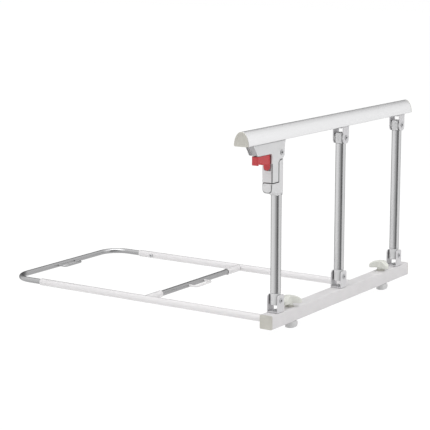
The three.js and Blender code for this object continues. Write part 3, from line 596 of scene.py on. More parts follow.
class GeometryTree:
    """A Geometry Nodes tree with named inputs, and the modifier that runs it."""

    def __init__(self, name: str, inputs: dict[str, str]) -> None:
        """Starts the tree.

        Args:
            name: the tree's name.
            inputs: each input's name and socket type, apart from Geometry and Material.
        """
        self.tree = bpy.data.node_groups.new(name, "GeometryNodeTree")
        face = self.tree.interface
        face.new_socket("Geometry", in_out="INPUT", socket_type="NodeSocketGeometry")
        face.new_socket("Geometry", in_out="OUTPUT", socket_type="NodeSocketGeometry")
        self.keys = {key: face.new_socket(key, in_out="INPUT", socket_type=kind).identifier
                     for key, kind in (inputs | {"Material": "NodeSocketMaterial"}).items()}
        self.graph = Graph(self.tree)
        self.entry = self.graph.add("NodeGroupInput").outputs

    def sweep(self, path: Socket, sides: object, radius: Socket) -> Socket:
        """Draws a round rod with closed ends.

        Args:
            path: the curve that it follows.
            sides: how many faces go round.
            radius: its radius.

        Returns:
            The rod's mesh.
        """
        section = self.graph.add("GeometryNodeCurvePrimitiveCircle", Resolution=sides, Radius=radius)
        return self.graph.add(
            "GeometryNodeCurveToMesh", Curve=path, Profile_Curve=section.outputs[0], Fill_Caps=True).outputs[0]

    def end(self, geometry: Socket) -> "GeometryTree":
        """Ends the tree with Realize Instances and Set Material.

        Args:
            geometry: what the tree has made.

        Returns:
            The tree itself.
        """
        real = self.graph.add("GeometryNodeRealizeInstances", i0=geometry).outputs[0]
        dressed = self.graph.add("GeometryNodeSetMaterial", i0=real, Material=self.entry["Material"])
        self.graph.add("NodeGroupOutput", i0=dressed.outputs[0])
        return self

    def run(self, piece: Piece, **values: object) -> Piece:
        """Runs the tree on an object and keeps the result as its mesh.

        Args:
            piece: the object whose mesh goes in.
            **values: a value for each named input, with _ for a space.

        Returns:
            The same object with the new mesh.
        """
        modifier = piece.modifiers.new(self.tree.name, "NODES")
        modifier.node_group = self.tree
        for key, value in values.items():
            modifier[self.keys[key.replace("_", " ")]] = value
        baked(piece)
        smooth_by_angle(piece.data, ROD_SHARP)
        return piece


def rod_tree() -> GeometryTree:
    """Makes the tree that draws a round rod along a path.

    Returns:
        The tree.
    """
    tree = GeometryTree("rod_along_path", {"Radius": "NodeSocketFloat", "Sides": "NodeSocketInt"})
    path = tree.graph.add("GeometryNodeMeshToCurve", i0=tree.entry["Geometry"])
    return tree.end(tree.sweep(path.outputs[0], tree.entry["Sides"], tree.entry["Radius"]))


def coil_tree() -> GeometryTree:
    """Makes the tree that winds a wire into a coil about the upright through a base point.

    Returns:
        The tree.
    """
    kinds = {key: "NodeSocketFloat" for key in ("Coil Radius", "Height", "Turns", "Wire Radius")}
    tree = GeometryTree("wound_coil", {"Base": "NodeSocketVector"} | kinds)
    graph, entry = tree.graph, tree.entry
    spiral = graph.add(
        "GeometryNodeCurveSpiral", Resolution=32, Rotations=entry["Turns"], Start_Radius=entry["Coil Radius"],
        End_Radius=entry["Coil Radius"], Height=entry["Height"])
    wire = tree.sweep(spiral.outputs[0], 10, entry["Wire Radius"])
    return tree.end(graph.add("GeometryNodeTransform", Geometry=wire, Translation=entry["Base"]).outputs[0])


def fastener_tree() -> GeometryTree:
    """Makes the tree that sets one fastener at each point, turned by the point's own turn.

    Returns:
        The tree.
    """
    tree = GeometryTree("fasteners_at_points", {"Fastener": "NodeSocketObject"})
    graph, entry = tree.graph, tree.entry
    shape = graph.add("GeometryNodeObjectInfo", Object=entry["Fastener"]).outputs["Geometry"]
    turn = graph.add("GeometryNodeInputNamedAttribute", {"data_type": "FLOAT_VECTOR"}, Name="turn")
    rotation = graph.add("FunctionNodeEulerToRotation", i0=turn.outputs[0])
    placed = graph.add("GeometryNodeInstanceOnPoints", Points=entry["Geometry"], Instance=shape,
                       Rotation=rotation.outputs[0])
    return tree.end(placed.outputs[0])


# Shared small shapes


def arc(middle: Sequence[float], radius: float, start: float, turn: float, steps: int) -> Outline:
    """Points along an arc, both ends included.

    Args:
        middle: the arc's middle.
        radius: its radius.
        start: where it starts, in degrees.
        turn: how far it turns, in degrees.
        steps: how many steps it has.

    Returns:
        The arc's points.
    """
    angles = [math.radians(start + turn * i / steps) for i in range(steps + 1)]
    return [(middle[0] + radius * math.cos(a), middle[1] + radius * math.sin(a)) for a in angles]


def u_path(node: str, tube: float, bend: float, open_toward: int) -> list[Point]:
    """The middle line of a U-shaped rod, from its CAD node's box.

    Args:
        node: the CAD node.
        tube: the rod's radius.
        bend: the bend's radius at the middle line.
        open_toward: -1 where the U is open toward -Y, or 1 where it is open toward +Y.

    Returns:
        The points of the middle line.
    """
    low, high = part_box(node)
    left, right, height = low.x + tube, high.x - tube, (low.z + high.z) / 2
    mouth, far = (low.y, high.y - tube) if open_toward < 0 else (high.y, low.y + tube)
    middle, turn = far + open_toward * bend, 90 * open_toward
    plan = [(left, mouth), *arc((left + bend, middle), bend, 180, turn, BEND_STEPS),
            *arc((right - bend, middle), bend, -turn, turn, BEND_STEPS), (right, mouth)]
    return [(x, y, height) for x, y in plan]


def pipe(name: str, node: str, bore: float, lip: float, tilt: float = 0.0, segments: int = 64) -> Piece:
    """Makes a pipe or a washer in the place of a CAD node.

    Args:
        name: the new object's name.
        node: the CAD node.
        bore: its inner radius.
        lip: how far its outer edges are cut back.
        tilt: how far its axis is turned about X, from the upright.
        segments: how many faces go round.

    Returns:
        The new object.
    """
    low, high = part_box(node)
    size = high - low
    radius, half = size.x / 2, (size.y if tilt else size.z) / 2
    profile = [(bore, -half), (radius - lip, -half), (radius, lip - half), (radius, half - lip),
               (radius - lip, half), (bore, half), (bore, -half)]
    return turned(name, profile, (low + high) / 2, tilt, segments)


@dataclass(frozen=True)
class Cover:
    """The sizes of a moulded end cover: a rounded edge, a raised border and a sunk face."""

    border: float
    recess: float
    thickness: float = 3.0 * MM
    edge: float = 1.1 * MM
    edge_steps: int = 5


@dataclass
class Bench:
    """What every sub-assembly is built with: finishes, node trees, and the sizes of rivets and screws."""

    shop: Workshop = field(default_factory=Workshop)
    rods: GeometryTree = field(default_factory=rod_tree)
    coils: GeometryTree = field(default_factory=coil_tree)
    spots: GeometryTree = field(default_factory=fastener_tree)
    rivet_shaft: float = 4.0 * MM
    flange_thickness: float = 1.2 * MM
    rivet_socket: float = 2.9 * MM
    rivet_socket_depth: float = 4.0 * MM
    rivet_sides: int = 40
    screw_head: float = 3.0 * MM
    screw_shank: float = 2.5 * MM
    screw_sides: int = 36
    screw_socket: tuple[float, float] = (0.36, 0.4)
    screw_tip: tuple[float, float] = (0.8, 0.3)
    screw_dome_share: float = 0.35
    screw_dome: tuple[tuple[float, float], ...] = ((1.0, 1.0), (0.97, 0.6), (0.86, 0.15), (0.7, 0.0))

    def rod(self, name: str, path: Points, radius: float, finish: Finish, sides: int = 32) -> Piece:
        """Draws a round rod along a path.

        Args:
            name: the new object's name.
            path: the points of its middle line.
            radius: its radius.
            finish: what it is finished in.
            sides: how many faces go round.

        Returns:
            The new object.
        """
        piece = linked(name, path, [(i, i + 1) for i in range(len(path) - 1)])
        return self.rods.run(piece, Radius=radius, Sides=sides, Material=self.shop.material(finish))

    def soften(self, node: str, name: str, edge: float, body: str, finish: Finish) -> None:
        """Fits a copy of a CAD node, with each sharp edge rounded.

        Args:
            node: the CAD node.
            name: the new object's name.
            edge: the width of the rounding.
            body: the body that it rides on.
            finish: what it is finished in.
        """
        piece = cad_copy(node, name)
        bevel = piece.modifiers.new("edges", "BEVEL")
        bevel.width, bevel.segments = edge, BEVEL_STEPS
        bevel.limit_method, bevel.angle_limit = "ANGLE", math.radians(BEVEL_SHARP)
        bevel.use_clamp_overlap, bevel.harden_normals = False, True
        self.shop.fit(baked(piece), body, finish, node)

    def covers(self, kind: str, body: str, cover: Cover, outline: Outline, height: float) -> None:
        """Sets a cover in each end of a tube that lies along X.

        Args:
            kind: the first word of the caps' names.
            body: the body that the covers ride on.
            cover: their sizes.
            outline: their outline in Y and Z.
            height: how high the outline's zero lies over the caps' lowest point.
        """
        edge, top, inner = cover.edge, cover.thickness, cover.edge + cover.border
        reach = max(abs(v) for point in outline for v in point)
        levels = [(0.0, 0.0)]
        levels += [(edge - x, top - edge + z) for x, z in arc((0.0, 0.0), edge, 0, 90, cover.edge_steps)]
        levels += [(inner, top), (inner + cover.recess, top - cover.recess / 2),
                   (inner + 2 * cover.recess, top - cover.recess)]
        scales = [(1 - inset / reach, out) for inset, out in levels]
        for side, outward in OUTWARD.items():
            low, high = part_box(f"{kind}_cap_{side}")
            back = (low.x if outward < 0 else high.x) - outward * top
            y, z = (low.y + high.y) / 2, low.z + height
            rings = [[(back + outward * out, y + a * s, z + b * s) for a, b in outline] for s, out in scales]
            piece = rings_mesh(f"{kind}_end_cover_{side}", rings)
            self.shop.fit(piece, body, CAP_CREAM, f"{kind}_cap_{side}")

    def rivets(self, name: str, body: str, nodes: Sequence[str]) -> None:
        """Sets a hollow-ended rivet along Y in the place of each pin.

        Args:
            name: the new object's name.
            body: the body that the rivets ride on.
            nodes: the pins' CAD nodes.
        """
        low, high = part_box(nodes[0])
        half, flange = (high.y - low.y) / 2, (high.z - low.z) / 2
        lip, socket, bottom = 0.25 * self.flange_thickness, self.rivet_socket, half - self.rivet_socket_depth
        shoulder = half - self.flange_thickness
        end = [(0.0, bottom), (socket - lip, bottom), (socket, bottom + lip), (socket, half - lip),
               (socket + lip, half), (flange - lip, half), (flange, half - lip), (flange, shoulder),
               (self.rivet_shaft, shoulder)]
        profile = end + [(r, -z) for r, z in reversed(end)]
        shape = turned("rivet", profile, tilt=QUARTER, segments=self.rivet_sides)
        self._fasten(name, body, nodes, shape, [middle_of(n) for n in nodes], [(0.0, 0.0, 0.0)] * len(nodes))

    def screws(self, name: str, body: str, heads: dict[str, Point]) -> None:
        """Sets a pan-head screw with a six-sided socket in the place of each node.

        Args:
            name: the new object's name.
            body: the body that the screws ride on.
            heads: the CAD nodes, which are alike, and the way along X or Z that each one's head faces.
        """
        seats, turns = [], []
        for node, head_way in heads.items():
            low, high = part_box(node)
            size, way = high - low, Vector(head_way)
            length, head = abs(size.dot(way)), (size.x if way.z else size.z) / 2
            seats.append((low + high) / 2 + way * (length / 2 - self.screw_head))
            turns.append((math.pi if way.z < 0 else 0.0, way.x * QUARTER, 0.0))
        shank, top, depth = self.screw_shank, self.screw_head, length - self.screw_head
        socket, floor = self.screw_socket[0] * head, self.screw_socket[1] * top
        tip, ease = (share * shank for share in self.screw_tip)
        profile = [(0.0, -depth), (tip, -depth), (shank, ease - depth), (shank, 0.0), (head, 0.0)]
        profile += [(r * head, top - drop * self.screw_dome_share * top) for r, drop in self.screw_dome]
        profile += [(socket, top), (socket, floor), (0.0, floor)]
        shape = turned("screw", profile, segments=self.screw_sides)
        self._fasten(name, body, list(heads), shape, seats, turns)

    def _fasten(self, name: str, body: str, nodes: Sequence[str], shape: Piece, places: Points,
                turns: Sequence[Point]) -> None:
        """Sets a copy of a fastener at each place, and fits the copies to their body.

        Args:
            name: the new object's name.
            body: the body that the copies ride on.
            nodes: the CAD nodes that they stand for.
            shape: the fastener about its own origin. It goes when the copies are made.
            places: where each copy stands.
            turns: each copy's turn, in radians about X, Y and Z.
        """
        piece = linked(name, places)
        attribute = piece.data.attributes.new("turn", "FLOAT_VECTOR", "POINT")
        for item, turn in zip(attribute.data, turns):
            item.vector = turn
        self.spots.run(piece, Fastener=shape, Material=self.shop.material(FASTENER_STEEL))
        bpy.data.objects.remove(shape)
        self.shop.fit(piece, body, FASTENER_STEEL, *nodes)


# Sub-assemblies


@dataclass
class BaseBeam:
    """The square beam with its end caps, brackets, rivets and screws."""

    bench: Bench
    cover: Cover = Cover(border=1.6 * MM, recess=0.5 * MM)
    corner_radius: float = 3.0 * MM
    corner_steps: int = 8
    bracket_edge: float = 0.5 * MM

    def build(self) -> None:
        """Builds the beam and all that is fixed on it."""
        bench = self.bench
        beam = cad_copy("base_beam", "beam_tube")
        beam.modifiers.new("flat_faces", "WEIGHTED_NORMAL").keep_sharp = True
        bench.shop.fit(baked(beam), "base", BEAM_PAINT, "base_beam")
        low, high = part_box("beam_cap_front")
        bench.covers("beam", "base", self.cover, self._outline((high.y - low.y) / 2), (high.z - low.z) / 2)
        for station in STATIONS:
            node = f"lower_bracket_{station}"
            bench.soften(node, f"{node}_sheet", self.bracket_edge, "base", BRACKET_STEEL)
        bench.rivets("lower_pivot_rivets", "base", [f"lower_pivot_pin_{s}" for s in STATIONS])
        heads = {f"lower_bracket_screw_{s}": (0, 0, 1) for s in STATIONS}
        bench.screws("lower_bracket_screws", "base", heads)

    def _outline(self, half: float) -> Outline:
        """Draws a square with rounded corners.

        Args:
            half: half its width.

        Returns:
            The outline's points.
        """
        corner, outline = half - self.corner_radius, []
        for start, y, z in ((0, 1, 1), (90, -1, 1), (180, -1, -1), (270, 1, -1)):
            outline += arc((y * corner, z * corner), self.corner_radius, start, 90, self.corner_steps)
        return outline


@dataclass
class BedFrame:
    """The tubes that lie under the mattress, with their loops and lock screws."""

    bench: Bench
    side_wall: float = 1.5 * MM
    tube_lip: float = 0.5 * MM
    socket_edge: float = 0.3 * MM
    end_radius: float = 7.0 * MM
    end_bend: float = 55.0 * MM
    loop_rod: float = 2.8 * MM
    loop_bend: float = 9.0 * MM
    loop_sides: int = 20
    end_sides: int = 36

    def build(self) -> None:
        """Builds every tube, loop and lock screw."""
        bench, shop = self.bench, self.bench.shop
        for side in SIDES:
            shop.fit(self._side_tube(side), "base", FRAME_WHITE, f"side_tube_{side}")
            node = f"cross_bar_socket_{side}"
            bench.soften(node, f"{node}_stub", self.socket_edge, "base", FRAME_WHITE)
        low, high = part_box("cross_bar")
        y, z = (low.y + high.y) / 2, (low.z + high.z) / 2
        bar = bench.rod("cross_bar_tube", [(low.x, y, z), (high.x, y, z)], (high.z - low.z) / 2, FRAME_STEEL)
        shop.fit(bar, "base", FRAME_STEEL, "cross_bar")
        loops = (("cross_bar_loop", "base", FRAME_WHITE), ("frame_end_loop", "frame_end", FRAME_STEEL))
        for node, body, finish in loops:
            path = u_path(node, self.loop_rod, self.loop_bend, 1)
            loop = bench.rod(f"{node}_rod", path, self.loop_rod, finish, self.loop_sides)
            shop.fit(loop, body, finish, node)
        path = u_path("frame_end_tube", self.end_radius, self.end_bend, -1)
        bow = bench.rod("frame_end_bow", path, self.end_radius, FRAME_STEEL, self.end_sides)
        shop.fit(bow, "frame_end", FRAME_STEEL, "frame_end_tube")
        heads = {"lock_screw_front": (1, 0, 0), "lock_screw_rear": (-1, 0, 0)}
        bench.screws("frame_lock_screws", "base", heads)

    def _side_tube(self, side: str) -> Piece:
        """Makes one side tube, open toward the bed.

        Args:
            side: which tube.

        Returns:
            The new object.
        """
        low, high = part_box(f"side_tube_{side}")
        middle, radius, lip = (low + high) / 2, (high.x - low.x) / 2, self.tube_lip
        bore, length, ease = radius - self.side_wall, high.y - low.y, EASE_SHARE * lip
        profile = [(bore, 0.0), (radius, 0.0), (radius, length - lip), (radius - ease, length - ease),
                   (radius - lip, length), (bore + ease, length), (bore, length - ease), (bore, 0.0)]
        return turned(f"side_tube_{side}_drawn", profile, (middle.x, low.y, middle.z), -QUARTER)


@dataclass
class Clamp:
    """One clamp: a winged knob on a collar, a stud through the beam, and a jaw."""

    bench: Bench
    side: str
    rest_angle: float
    wings: int = 3
    tip: float = 30.5 * MM
    wing_radius: float = 7.0 * MM
    hub_radius: float = 9.0 * MM
    blend_power: int = 9
    dome_radius: float = 32.0 * MM
    dome_shares: tuple[float, ...] = (0.02, 0.15, 0.3, 0.45, 0.6, 0.75, 0.88)
    under: float = 9.5 * MM
    edge: float = 1.8 * MM
    under_edge: float = 0.5 * MM
    hub_ease: float = 0.2 * MM
    hub_edge: float = 0.4 * MM
    edge_steps: int = 6
    round_steps: int = 168
    collar_edge: float = 0.5 * MM
    bolt_edge: float = 0.4 * MM
    foot_voxel: float = 0.55 * MM
    foot_rounds: int = 6

    def build(self) -> None:
        """Builds the clamp's four pieces."""
        bench, side = self.bench, self.side
        bench.soften(f"clamp_collar_{side}", f"knob_collar_{side}", self.collar_edge, "base", CAP_CREAM)
        bench.shop.fit(self._knob(), f"knob_{side}", KNOB_IVORY, f"clamp_knob_{side}")
        node = f"clamp_stud_{side}"
        bench.soften(node, f"clamp_bolt_{side}", self.bolt_edge, f"stud_{side}", FASTENER_STEEL)
        node = f"clamp_jaw_{side}"
        foot = cast(node, f"clamp_foot_{side}", self.foot_voxel, self.foot_rounds)
        bench.shop.fit(foot, f"jaw_{side}", JAW_WHITE, node)

    def _reach(self, angle: float) -> float:
        """How far the knob's plan reaches.

        Args:
            angle: the angle from its first wing.

        Returns:
            The distance from its axis.
        """
        step = 2 * math.pi / self.wings
        off = abs((angle + step / 2) % step - step / 2)
        centre = self.tip - self.wing_radius
        if off <= math.atan2(self.wing_radius, centre):
            wing = centre * math.cos(off) + math.sqrt(self.wing_radius ** 2 - (centre * math.sin(off)) ** 2)
        else:
            wing = self.wing_radius / math.sin(off)
        power = self.blend_power
        return (wing ** power + self.hub_radius ** power) ** (1 / power)

    def _knob(self) -> Piece:
        """Makes the knob: rounded wings under a dome, with eased edges, on its hub.

        Returns:
            The new object.
        """
        low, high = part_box(f"clamp_knob_{self.side}")
        stud, edge = middle_of(f"clamp_stud_{self.side}"), self.edge
        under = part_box("base_beam")[1].z + self.under
        angles = [2 * math.pi * i / self.round_steps for i in range(self.round_steps)]
        reaches, turn = [self._reach(a) for a in angles], math.radians(self.rest_angle)

        def dome(radius: float) -> float:
            """How high the dome is at a radius."""
            return under + (high.z - under) * math.sqrt(max(0.0, 1 - (radius / self.dome_radius) ** 2))

        def level(height: float, radii: Sequence[float], bearings: Sequence[float] = angles) -> list[Point]:
            """A ring, or a part of one, at one height."""
            return [(stud.x + r * math.cos(a + turn), stud.y + r * math.sin(a + turn), height)
                    for a, r in zip(bearings, radii)]

        def ring(share: float, offset: float, drop: float) -> list[Point]:
            """The plan, drawn in and set under the dome.

            Args:
                share: how much of the way from the axis to the edge it takes.
                offset: how far outside that it lies.
                drop: how far under the dome's height there it lies.

            Returns:
                The ring's points.
            """
            points = []
            for angle, reach in zip(angles, reaches):
                inner = share * (reach - edge)
                points += level(dome(inner) - drop, [inner + offset], [angle])
            return points

        foot = self.hub_radius - self.hub_ease
        hub, hub_end = [foot] * self.round_steps, [foot - self.hub_edge] * self.round_steps
        rings = [ring(share, 0.0, 0.0) for share in self.dome_shares]
        rings += [ring(1.0, out, edge - rest) for rest, out in arc((0.0, 0.0), edge, 0, 90, self.edge_steps)]
        rings += [level(under + self.under_edge, reaches), level(under, [r - self.under_edge for r in reaches])]
        rings += [level(under, hub), level(low.z + self.hub_edge, hub), level(low.z, hub_end)]
        return rings_mesh(f"knob_{self.side}_winged", rings)


@dataclass
class Post:
    """One folding post: its tube, its foot and its head, with the washers beside the head."""

    bench: Bench
    station: str
    wall: float = 1.5 * MM
    tube_lip: float = 0.4 * MM
    foot_edge: float = 1.6 * MM
    shoulder_edge: float = 0.5 * MM
    head_edge: float = 0.6 * MM
    washer_bore: float = 4.3 * MM
    washer_edge: float = 0.5 * MM
    washer_sides: int = 56

    def build(self) -> None:
        """Builds the post's pieces."""
        shop, station, body = self.bench.shop, self.station, f"{self.station}_post"
        node = f"post_tube_{station}"
        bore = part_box(node)[1].x - middle_of(node).x - self.wall
        shop.fit(pipe(f"post_{station}_tube", node, bore, self.tube_lip), body, POST_ALUMINIUM, node)
        shop.fit(self._foot(), body, CAST_GREY, f"post_foot_{station}")
        head = f"post_head_{station}"
        self.bench.soften(head, f"{head}_block", self.head_edge, body, CAST_GREY)
        if station != "front":
            for node in (f"head_washer_{station}_outer", f"head_washer_{station}_inner"):
                sizes = self.washer_bore, self.washer_edge, -QUARTER, self.washer_sides
                shop.fit(pipe(f"{node}_ring", node, *sizes), body, WASHER_WHITE, node)

    def _foot(self) -> Piece:
        """Makes the round block at the lower pivot, with its spigot in the tube.

        Returns:
            The new object.
        """
        node = f"post_foot_{self.station}"
        low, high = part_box(node)
        radius, middle, height = (high.x - low.x) / 2, (low + high) / 2, high.z - low.z
        edge, shoulder, ease = self.foot_edge, self.shoulder_edge, EASE_SHARE * self.foot_edge
        top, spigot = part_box(f"post_tube_{self.station}")[0].z - GAP - low.z, radius - self.wall - GAP
        profile = [(0.0, 0.0), (radius - edge, 0.0), (radius - ease, ease), (radius, edge),
                   (radius, top - shoulder), (radius - shoulder, top), (spigot, top), (spigot, height),
                   (0.0, height)]
        return turned(f"{node}_block", profile, (middle.x, middle.y, low.z))


@dataclass
class Handrail:
    """The rail with its end caps, upper brackets, rivets and screws."""

    bench: Bench
    half_width: float = 19.3 * MM
    height: float = 33.8 * MM
    edge_radius: float = 3.0 * MM
    edge_steps: int = 8
    edge_turn: float = 75.0
    top_steps: int = 64
    end_ease: float = 0.4 * MM
    end_share: float = 0.98
    cap_middle_share: float = 0.42
    cover: Cover = Cover(border=1.8 * MM, recess=0.6 * MM)
    bracket_edge: float = 0.5 * MM

    def build(self) -> None:
        """Builds the rail and all that hangs under it, apart from the latch."""
        bench, outline = self.bench, self._outline()
        bench.shop.fit(self._rail(outline), "handrail", RAIL_SATIN, "handrail")
        middle = self.cap_middle_share * self.height
        bench.covers("rail", "handrail", self.cover, [(a, b - middle) for a, b in outline], middle)
        for station in STATIONS[1:]:
            node = f"upper_bracket_{station}"
            bench.soften(node, f"{node}_sheet", self.bracket_edge, "handrail", BRACKET_STEEL)
        bench.rivets("upper_pivot_rivets", "handrail", [f"upper_pivot_pin_{s}" for s in STATIONS[1:]])
        bench.rivets("latch_pivot_rivet", "handrail", ["upper_pivot_pin_front"])
        heads = {f"upper_bracket_screw_{s}": (0, 0, -1) for s in STATIONS[1:]}
        bench.screws("upper_bracket_screws", "handrail", heads)

    def _outline(self) -> Outline:
        """Draws the rail's D outline in Y and Z, from its flat base.

        Returns:
            The outline's points.
        """
        start, edge = math.asin(self.edge_radius / self.height), self.edge_radius
        steps, few = self.top_steps, self.edge_steps
        inner = self.half_width * math.cos(start) - edge
        points = arc((-inner, edge), edge, 180, 90, few)[1:]
        points += arc((inner, edge), edge, 270, self.edge_turn, few)
        angles = [start + (math.pi - 2 * start) * i / steps for i in range(steps + 1)]
        return points + [(self.half_width * math.cos(a), self.height * math.sin(a)) for a in angles]

    def _rail(self, outline: Outline) -> Piece:
        """Makes the rail's outer skin between its caps.

        Args:
            outline: the rail's outline.

        Returns:
            The new object.
        """
        low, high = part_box("handrail")
        y, share = (low.y + high.y) / 2, self.end_share
        rings = [[(low.x, y + a * share, low.z + GAP + b * share) for a, b in outline]]
        rings += [[(x, y + a, low.z + b) for a, b in outline] for x in (low.x + self.end_ease, high.x)]
        return rings_mesh("handrail_extrusion", rings)


@dataclass
class Latch:
    """The housing, the trigger, the bolt with its spring, and the sleeve with its ledge."""

    bench: Bench
    groove: Groove = Groove()
    voxel: float = 0.65 * MM
    rounds: int = 7
    trigger_voxel: float = 0.5 * MM
    trigger_rounds: int = 9
    coil_radius: float = 4.2 * MM
    wire_radius: float = 0.8 * MM
    turns: float = 6.0
    bolt_lift: float = 7.2 * MM
    bolt_edge: float = 0.2 * MM
    screw_edge: float = 0.3 * MM
    arm_reach: float = 41.0 * MM
    arm_top: float = 24.0 * MM
    nose_top: tuple[float, float] = (119.8 * MM, 28.7 * MM)
    nose_bottom: tuple[float, float] = (102.3 * MM, 4.2 * MM)
    recess_half: float = 9.1 * MM
    recess_end: float = 26.0 * MM
    recess_start: float = 1.0 * MM
    recess_shade: float = 0.42
    pad_half: float = 12.8 * MM
    pad_top: float = 68.9 * MM
    pad_bottom: float = 92.9 * MM
    pad_rise: float = 9.0 * MM
    pad_steps: int = 12
    pad_corner: float = 4.0 * MM
    pad_corner_cut: float = 1.2 * MM
    arch_reach: float = 84.0 * MM
    arch_radius: float = 8.5 * MM
    arch_top: float = 14.2 * MM
    arch_half: float = 12.0 * MM
    arch_sides: int = 96
    trigger_ease: float = 0.22 * MM
    line_inset: float = 1.0 * MM

    def build(self) -> None:
        """Builds every piece of the latch."""
        bench, shop = self.bench, self.bench.shop
        shop.fit(self._housing(), "handrail", CAST_GREY, "latch_housing")
        shop.fit(self._sleeve(), "front_post", CAST_GREY, "latch_sleeve")
        shop.fit(self._trigger(), "trigger", TRIGGER_RED, "release_trigger")
        bench.soften("latch_bolt", "latch_bolt_rod", self.bolt_edge, "latch_bolt", FASTENER_STEEL)
        coil = shop.fit(self._spring(), "handrail", FASTENER_STEEL, "latch_spring")
        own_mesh(coil)
        for side in SIDES:
            node = f"housing_screw_{side}"
            bench.soften(node, f"{node}_turned", self.screw_edge, "handrail", FASTENER_STEEL)

    def _housing(self) -> Piece:
        """Makes the housing under the rail, with grooves at its joints, down its arm and round its nose's
        recess, all painted with shade, and painted shade in that recess.

        Returns:
            The new object.
        """
        pivot, low, half = middle_of("upper_pivot_pin_front"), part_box("latch_housing")[0], self.recess_half
        near, front = low.y + self.line_inset, pivot.x - self.arm_reach
        top, bottom = self.nose_top, self.nose_bottom

        def at(corner: tuple[float, float], side: float) -> Vector:
            """A corner of the nose, at a side of the pivot."""
            return pivot + Vector((-corner[0], side, corner[1]))

        slope = Vector((top[1] - bottom[1], top[0] - bottom[0])).normalized()

        def recess(place: Vector) -> float:
            """How much painted shade the nose's recess gets.

            Args:
                place: a place on the housing.

            Returns:
                The painted shade, from 0 to 1.
            """
            off = place - at(top, 0.0)
            depth = off.x * slope.x + off.z * slope.y
            inside = abs(off.y) < half and off.x < self.recess_end and depth > self.recess_start
            return self.recess_shade if inside else 0.0

        lines = [(Vector((front, near, pivot.z - self.arm_top)), Vector((front, near, low.z))),
                 (at(top, half), at(top, -half))]
        lines += [(at(top, side), at(bottom, side)) for side in (-half, half)]
        piece = cast("latch_housing", "latch_casting", self.voxel, self.rounds)
        return self.groove.sink(piece, ["latch_sleeve", "handrail"], lines, recess)

    def _sleeve(self) -> Piece:
        """Makes the sleeve on the front post, with grooves at its joint and round its pad, painted with the
        shade there and the shadow under the pad.

        Returns:
            The new object.
        """
        pivot, low = middle_of("upper_pivot_pin_front"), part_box("latch_sleeve")[0]
        half, top, bend = self.pad_half, self.pad_top, self.pad_bottom - self.pad_rise
        angles = [math.pi * i / self.pad_steps for i in range(self.pad_steps + 1)]
        outline = [(-half, top + self.pad_corner), (-half, bend)]
        outline += [(-half * math.cos(a), bend + self.pad_rise * math.sin(a)) for a in angles]
        outline += [(half, top + self.pad_corner), (half - self.pad_corner_cut, top + self.pad_corner_cut),
                    (half - self.pad_corner, top)]
        ring = [Vector((low.x, pivot.y + y, pivot.z - drop)) for y, drop in outline]
        piece = cast("latch_sleeve", "latch_sleeve_casting", self.voxel, self.rounds)
        return self.groove.sink(piece, ["latch_housing"], list(zip(ring, ring[1:])))

    def _trigger(self) -> Piece:
        """Makes the trigger, with the arch behind its pad.

        Returns:
            The new object.
        """
        half, radius = self.arch_half, self.arch_radius
        place = middle_of("upper_pivot_pin_front") + Vector((-self.arch_reach, 0.0, -self.arch_top - radius))
        profile = [(0.0, -half), (radius, -half), (radius, half), (0.0, half)]
        cutter = turned("arch", profile, place, QUARTER, self.arch_sides)
        piece = cast("release_trigger", "trigger_moulding", self.trigger_voxel, self.trigger_rounds, cutter)
        push_in(piece, [self.trigger_ease] * len(piece.data.vertices))
        return piece

    def _spring(self) -> Piece:
        """Winds the spring over the bolt.

        Returns:
            The new object.
        """
        low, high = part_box("latch_spring")
        middle, wire = middle_of("latch_bolt"), self.wire_radius
        height, steel = high.z - low.z - 2 * wire, self.bench.shop.material(FASTENER_STEEL)
        return self.bench.coils.run(
            linked("latch_coil", [(0.0, 0.0, 0.0)]), Base=(middle.x, middle.y, low.z + wire), Height=height,
            Coil_Radius=self.coil_radius, Turns=self.turns, Wire_Radius=wire, Material=steel)


# Studio


@dataclass(frozen=True)
class Lamp:
    """A square soft lamp: where it hangs from the target, in degrees and metres, its size and its power."""

    name: str
    bearing: float
    elevation: float
    distance: float
    size: float
    power: float


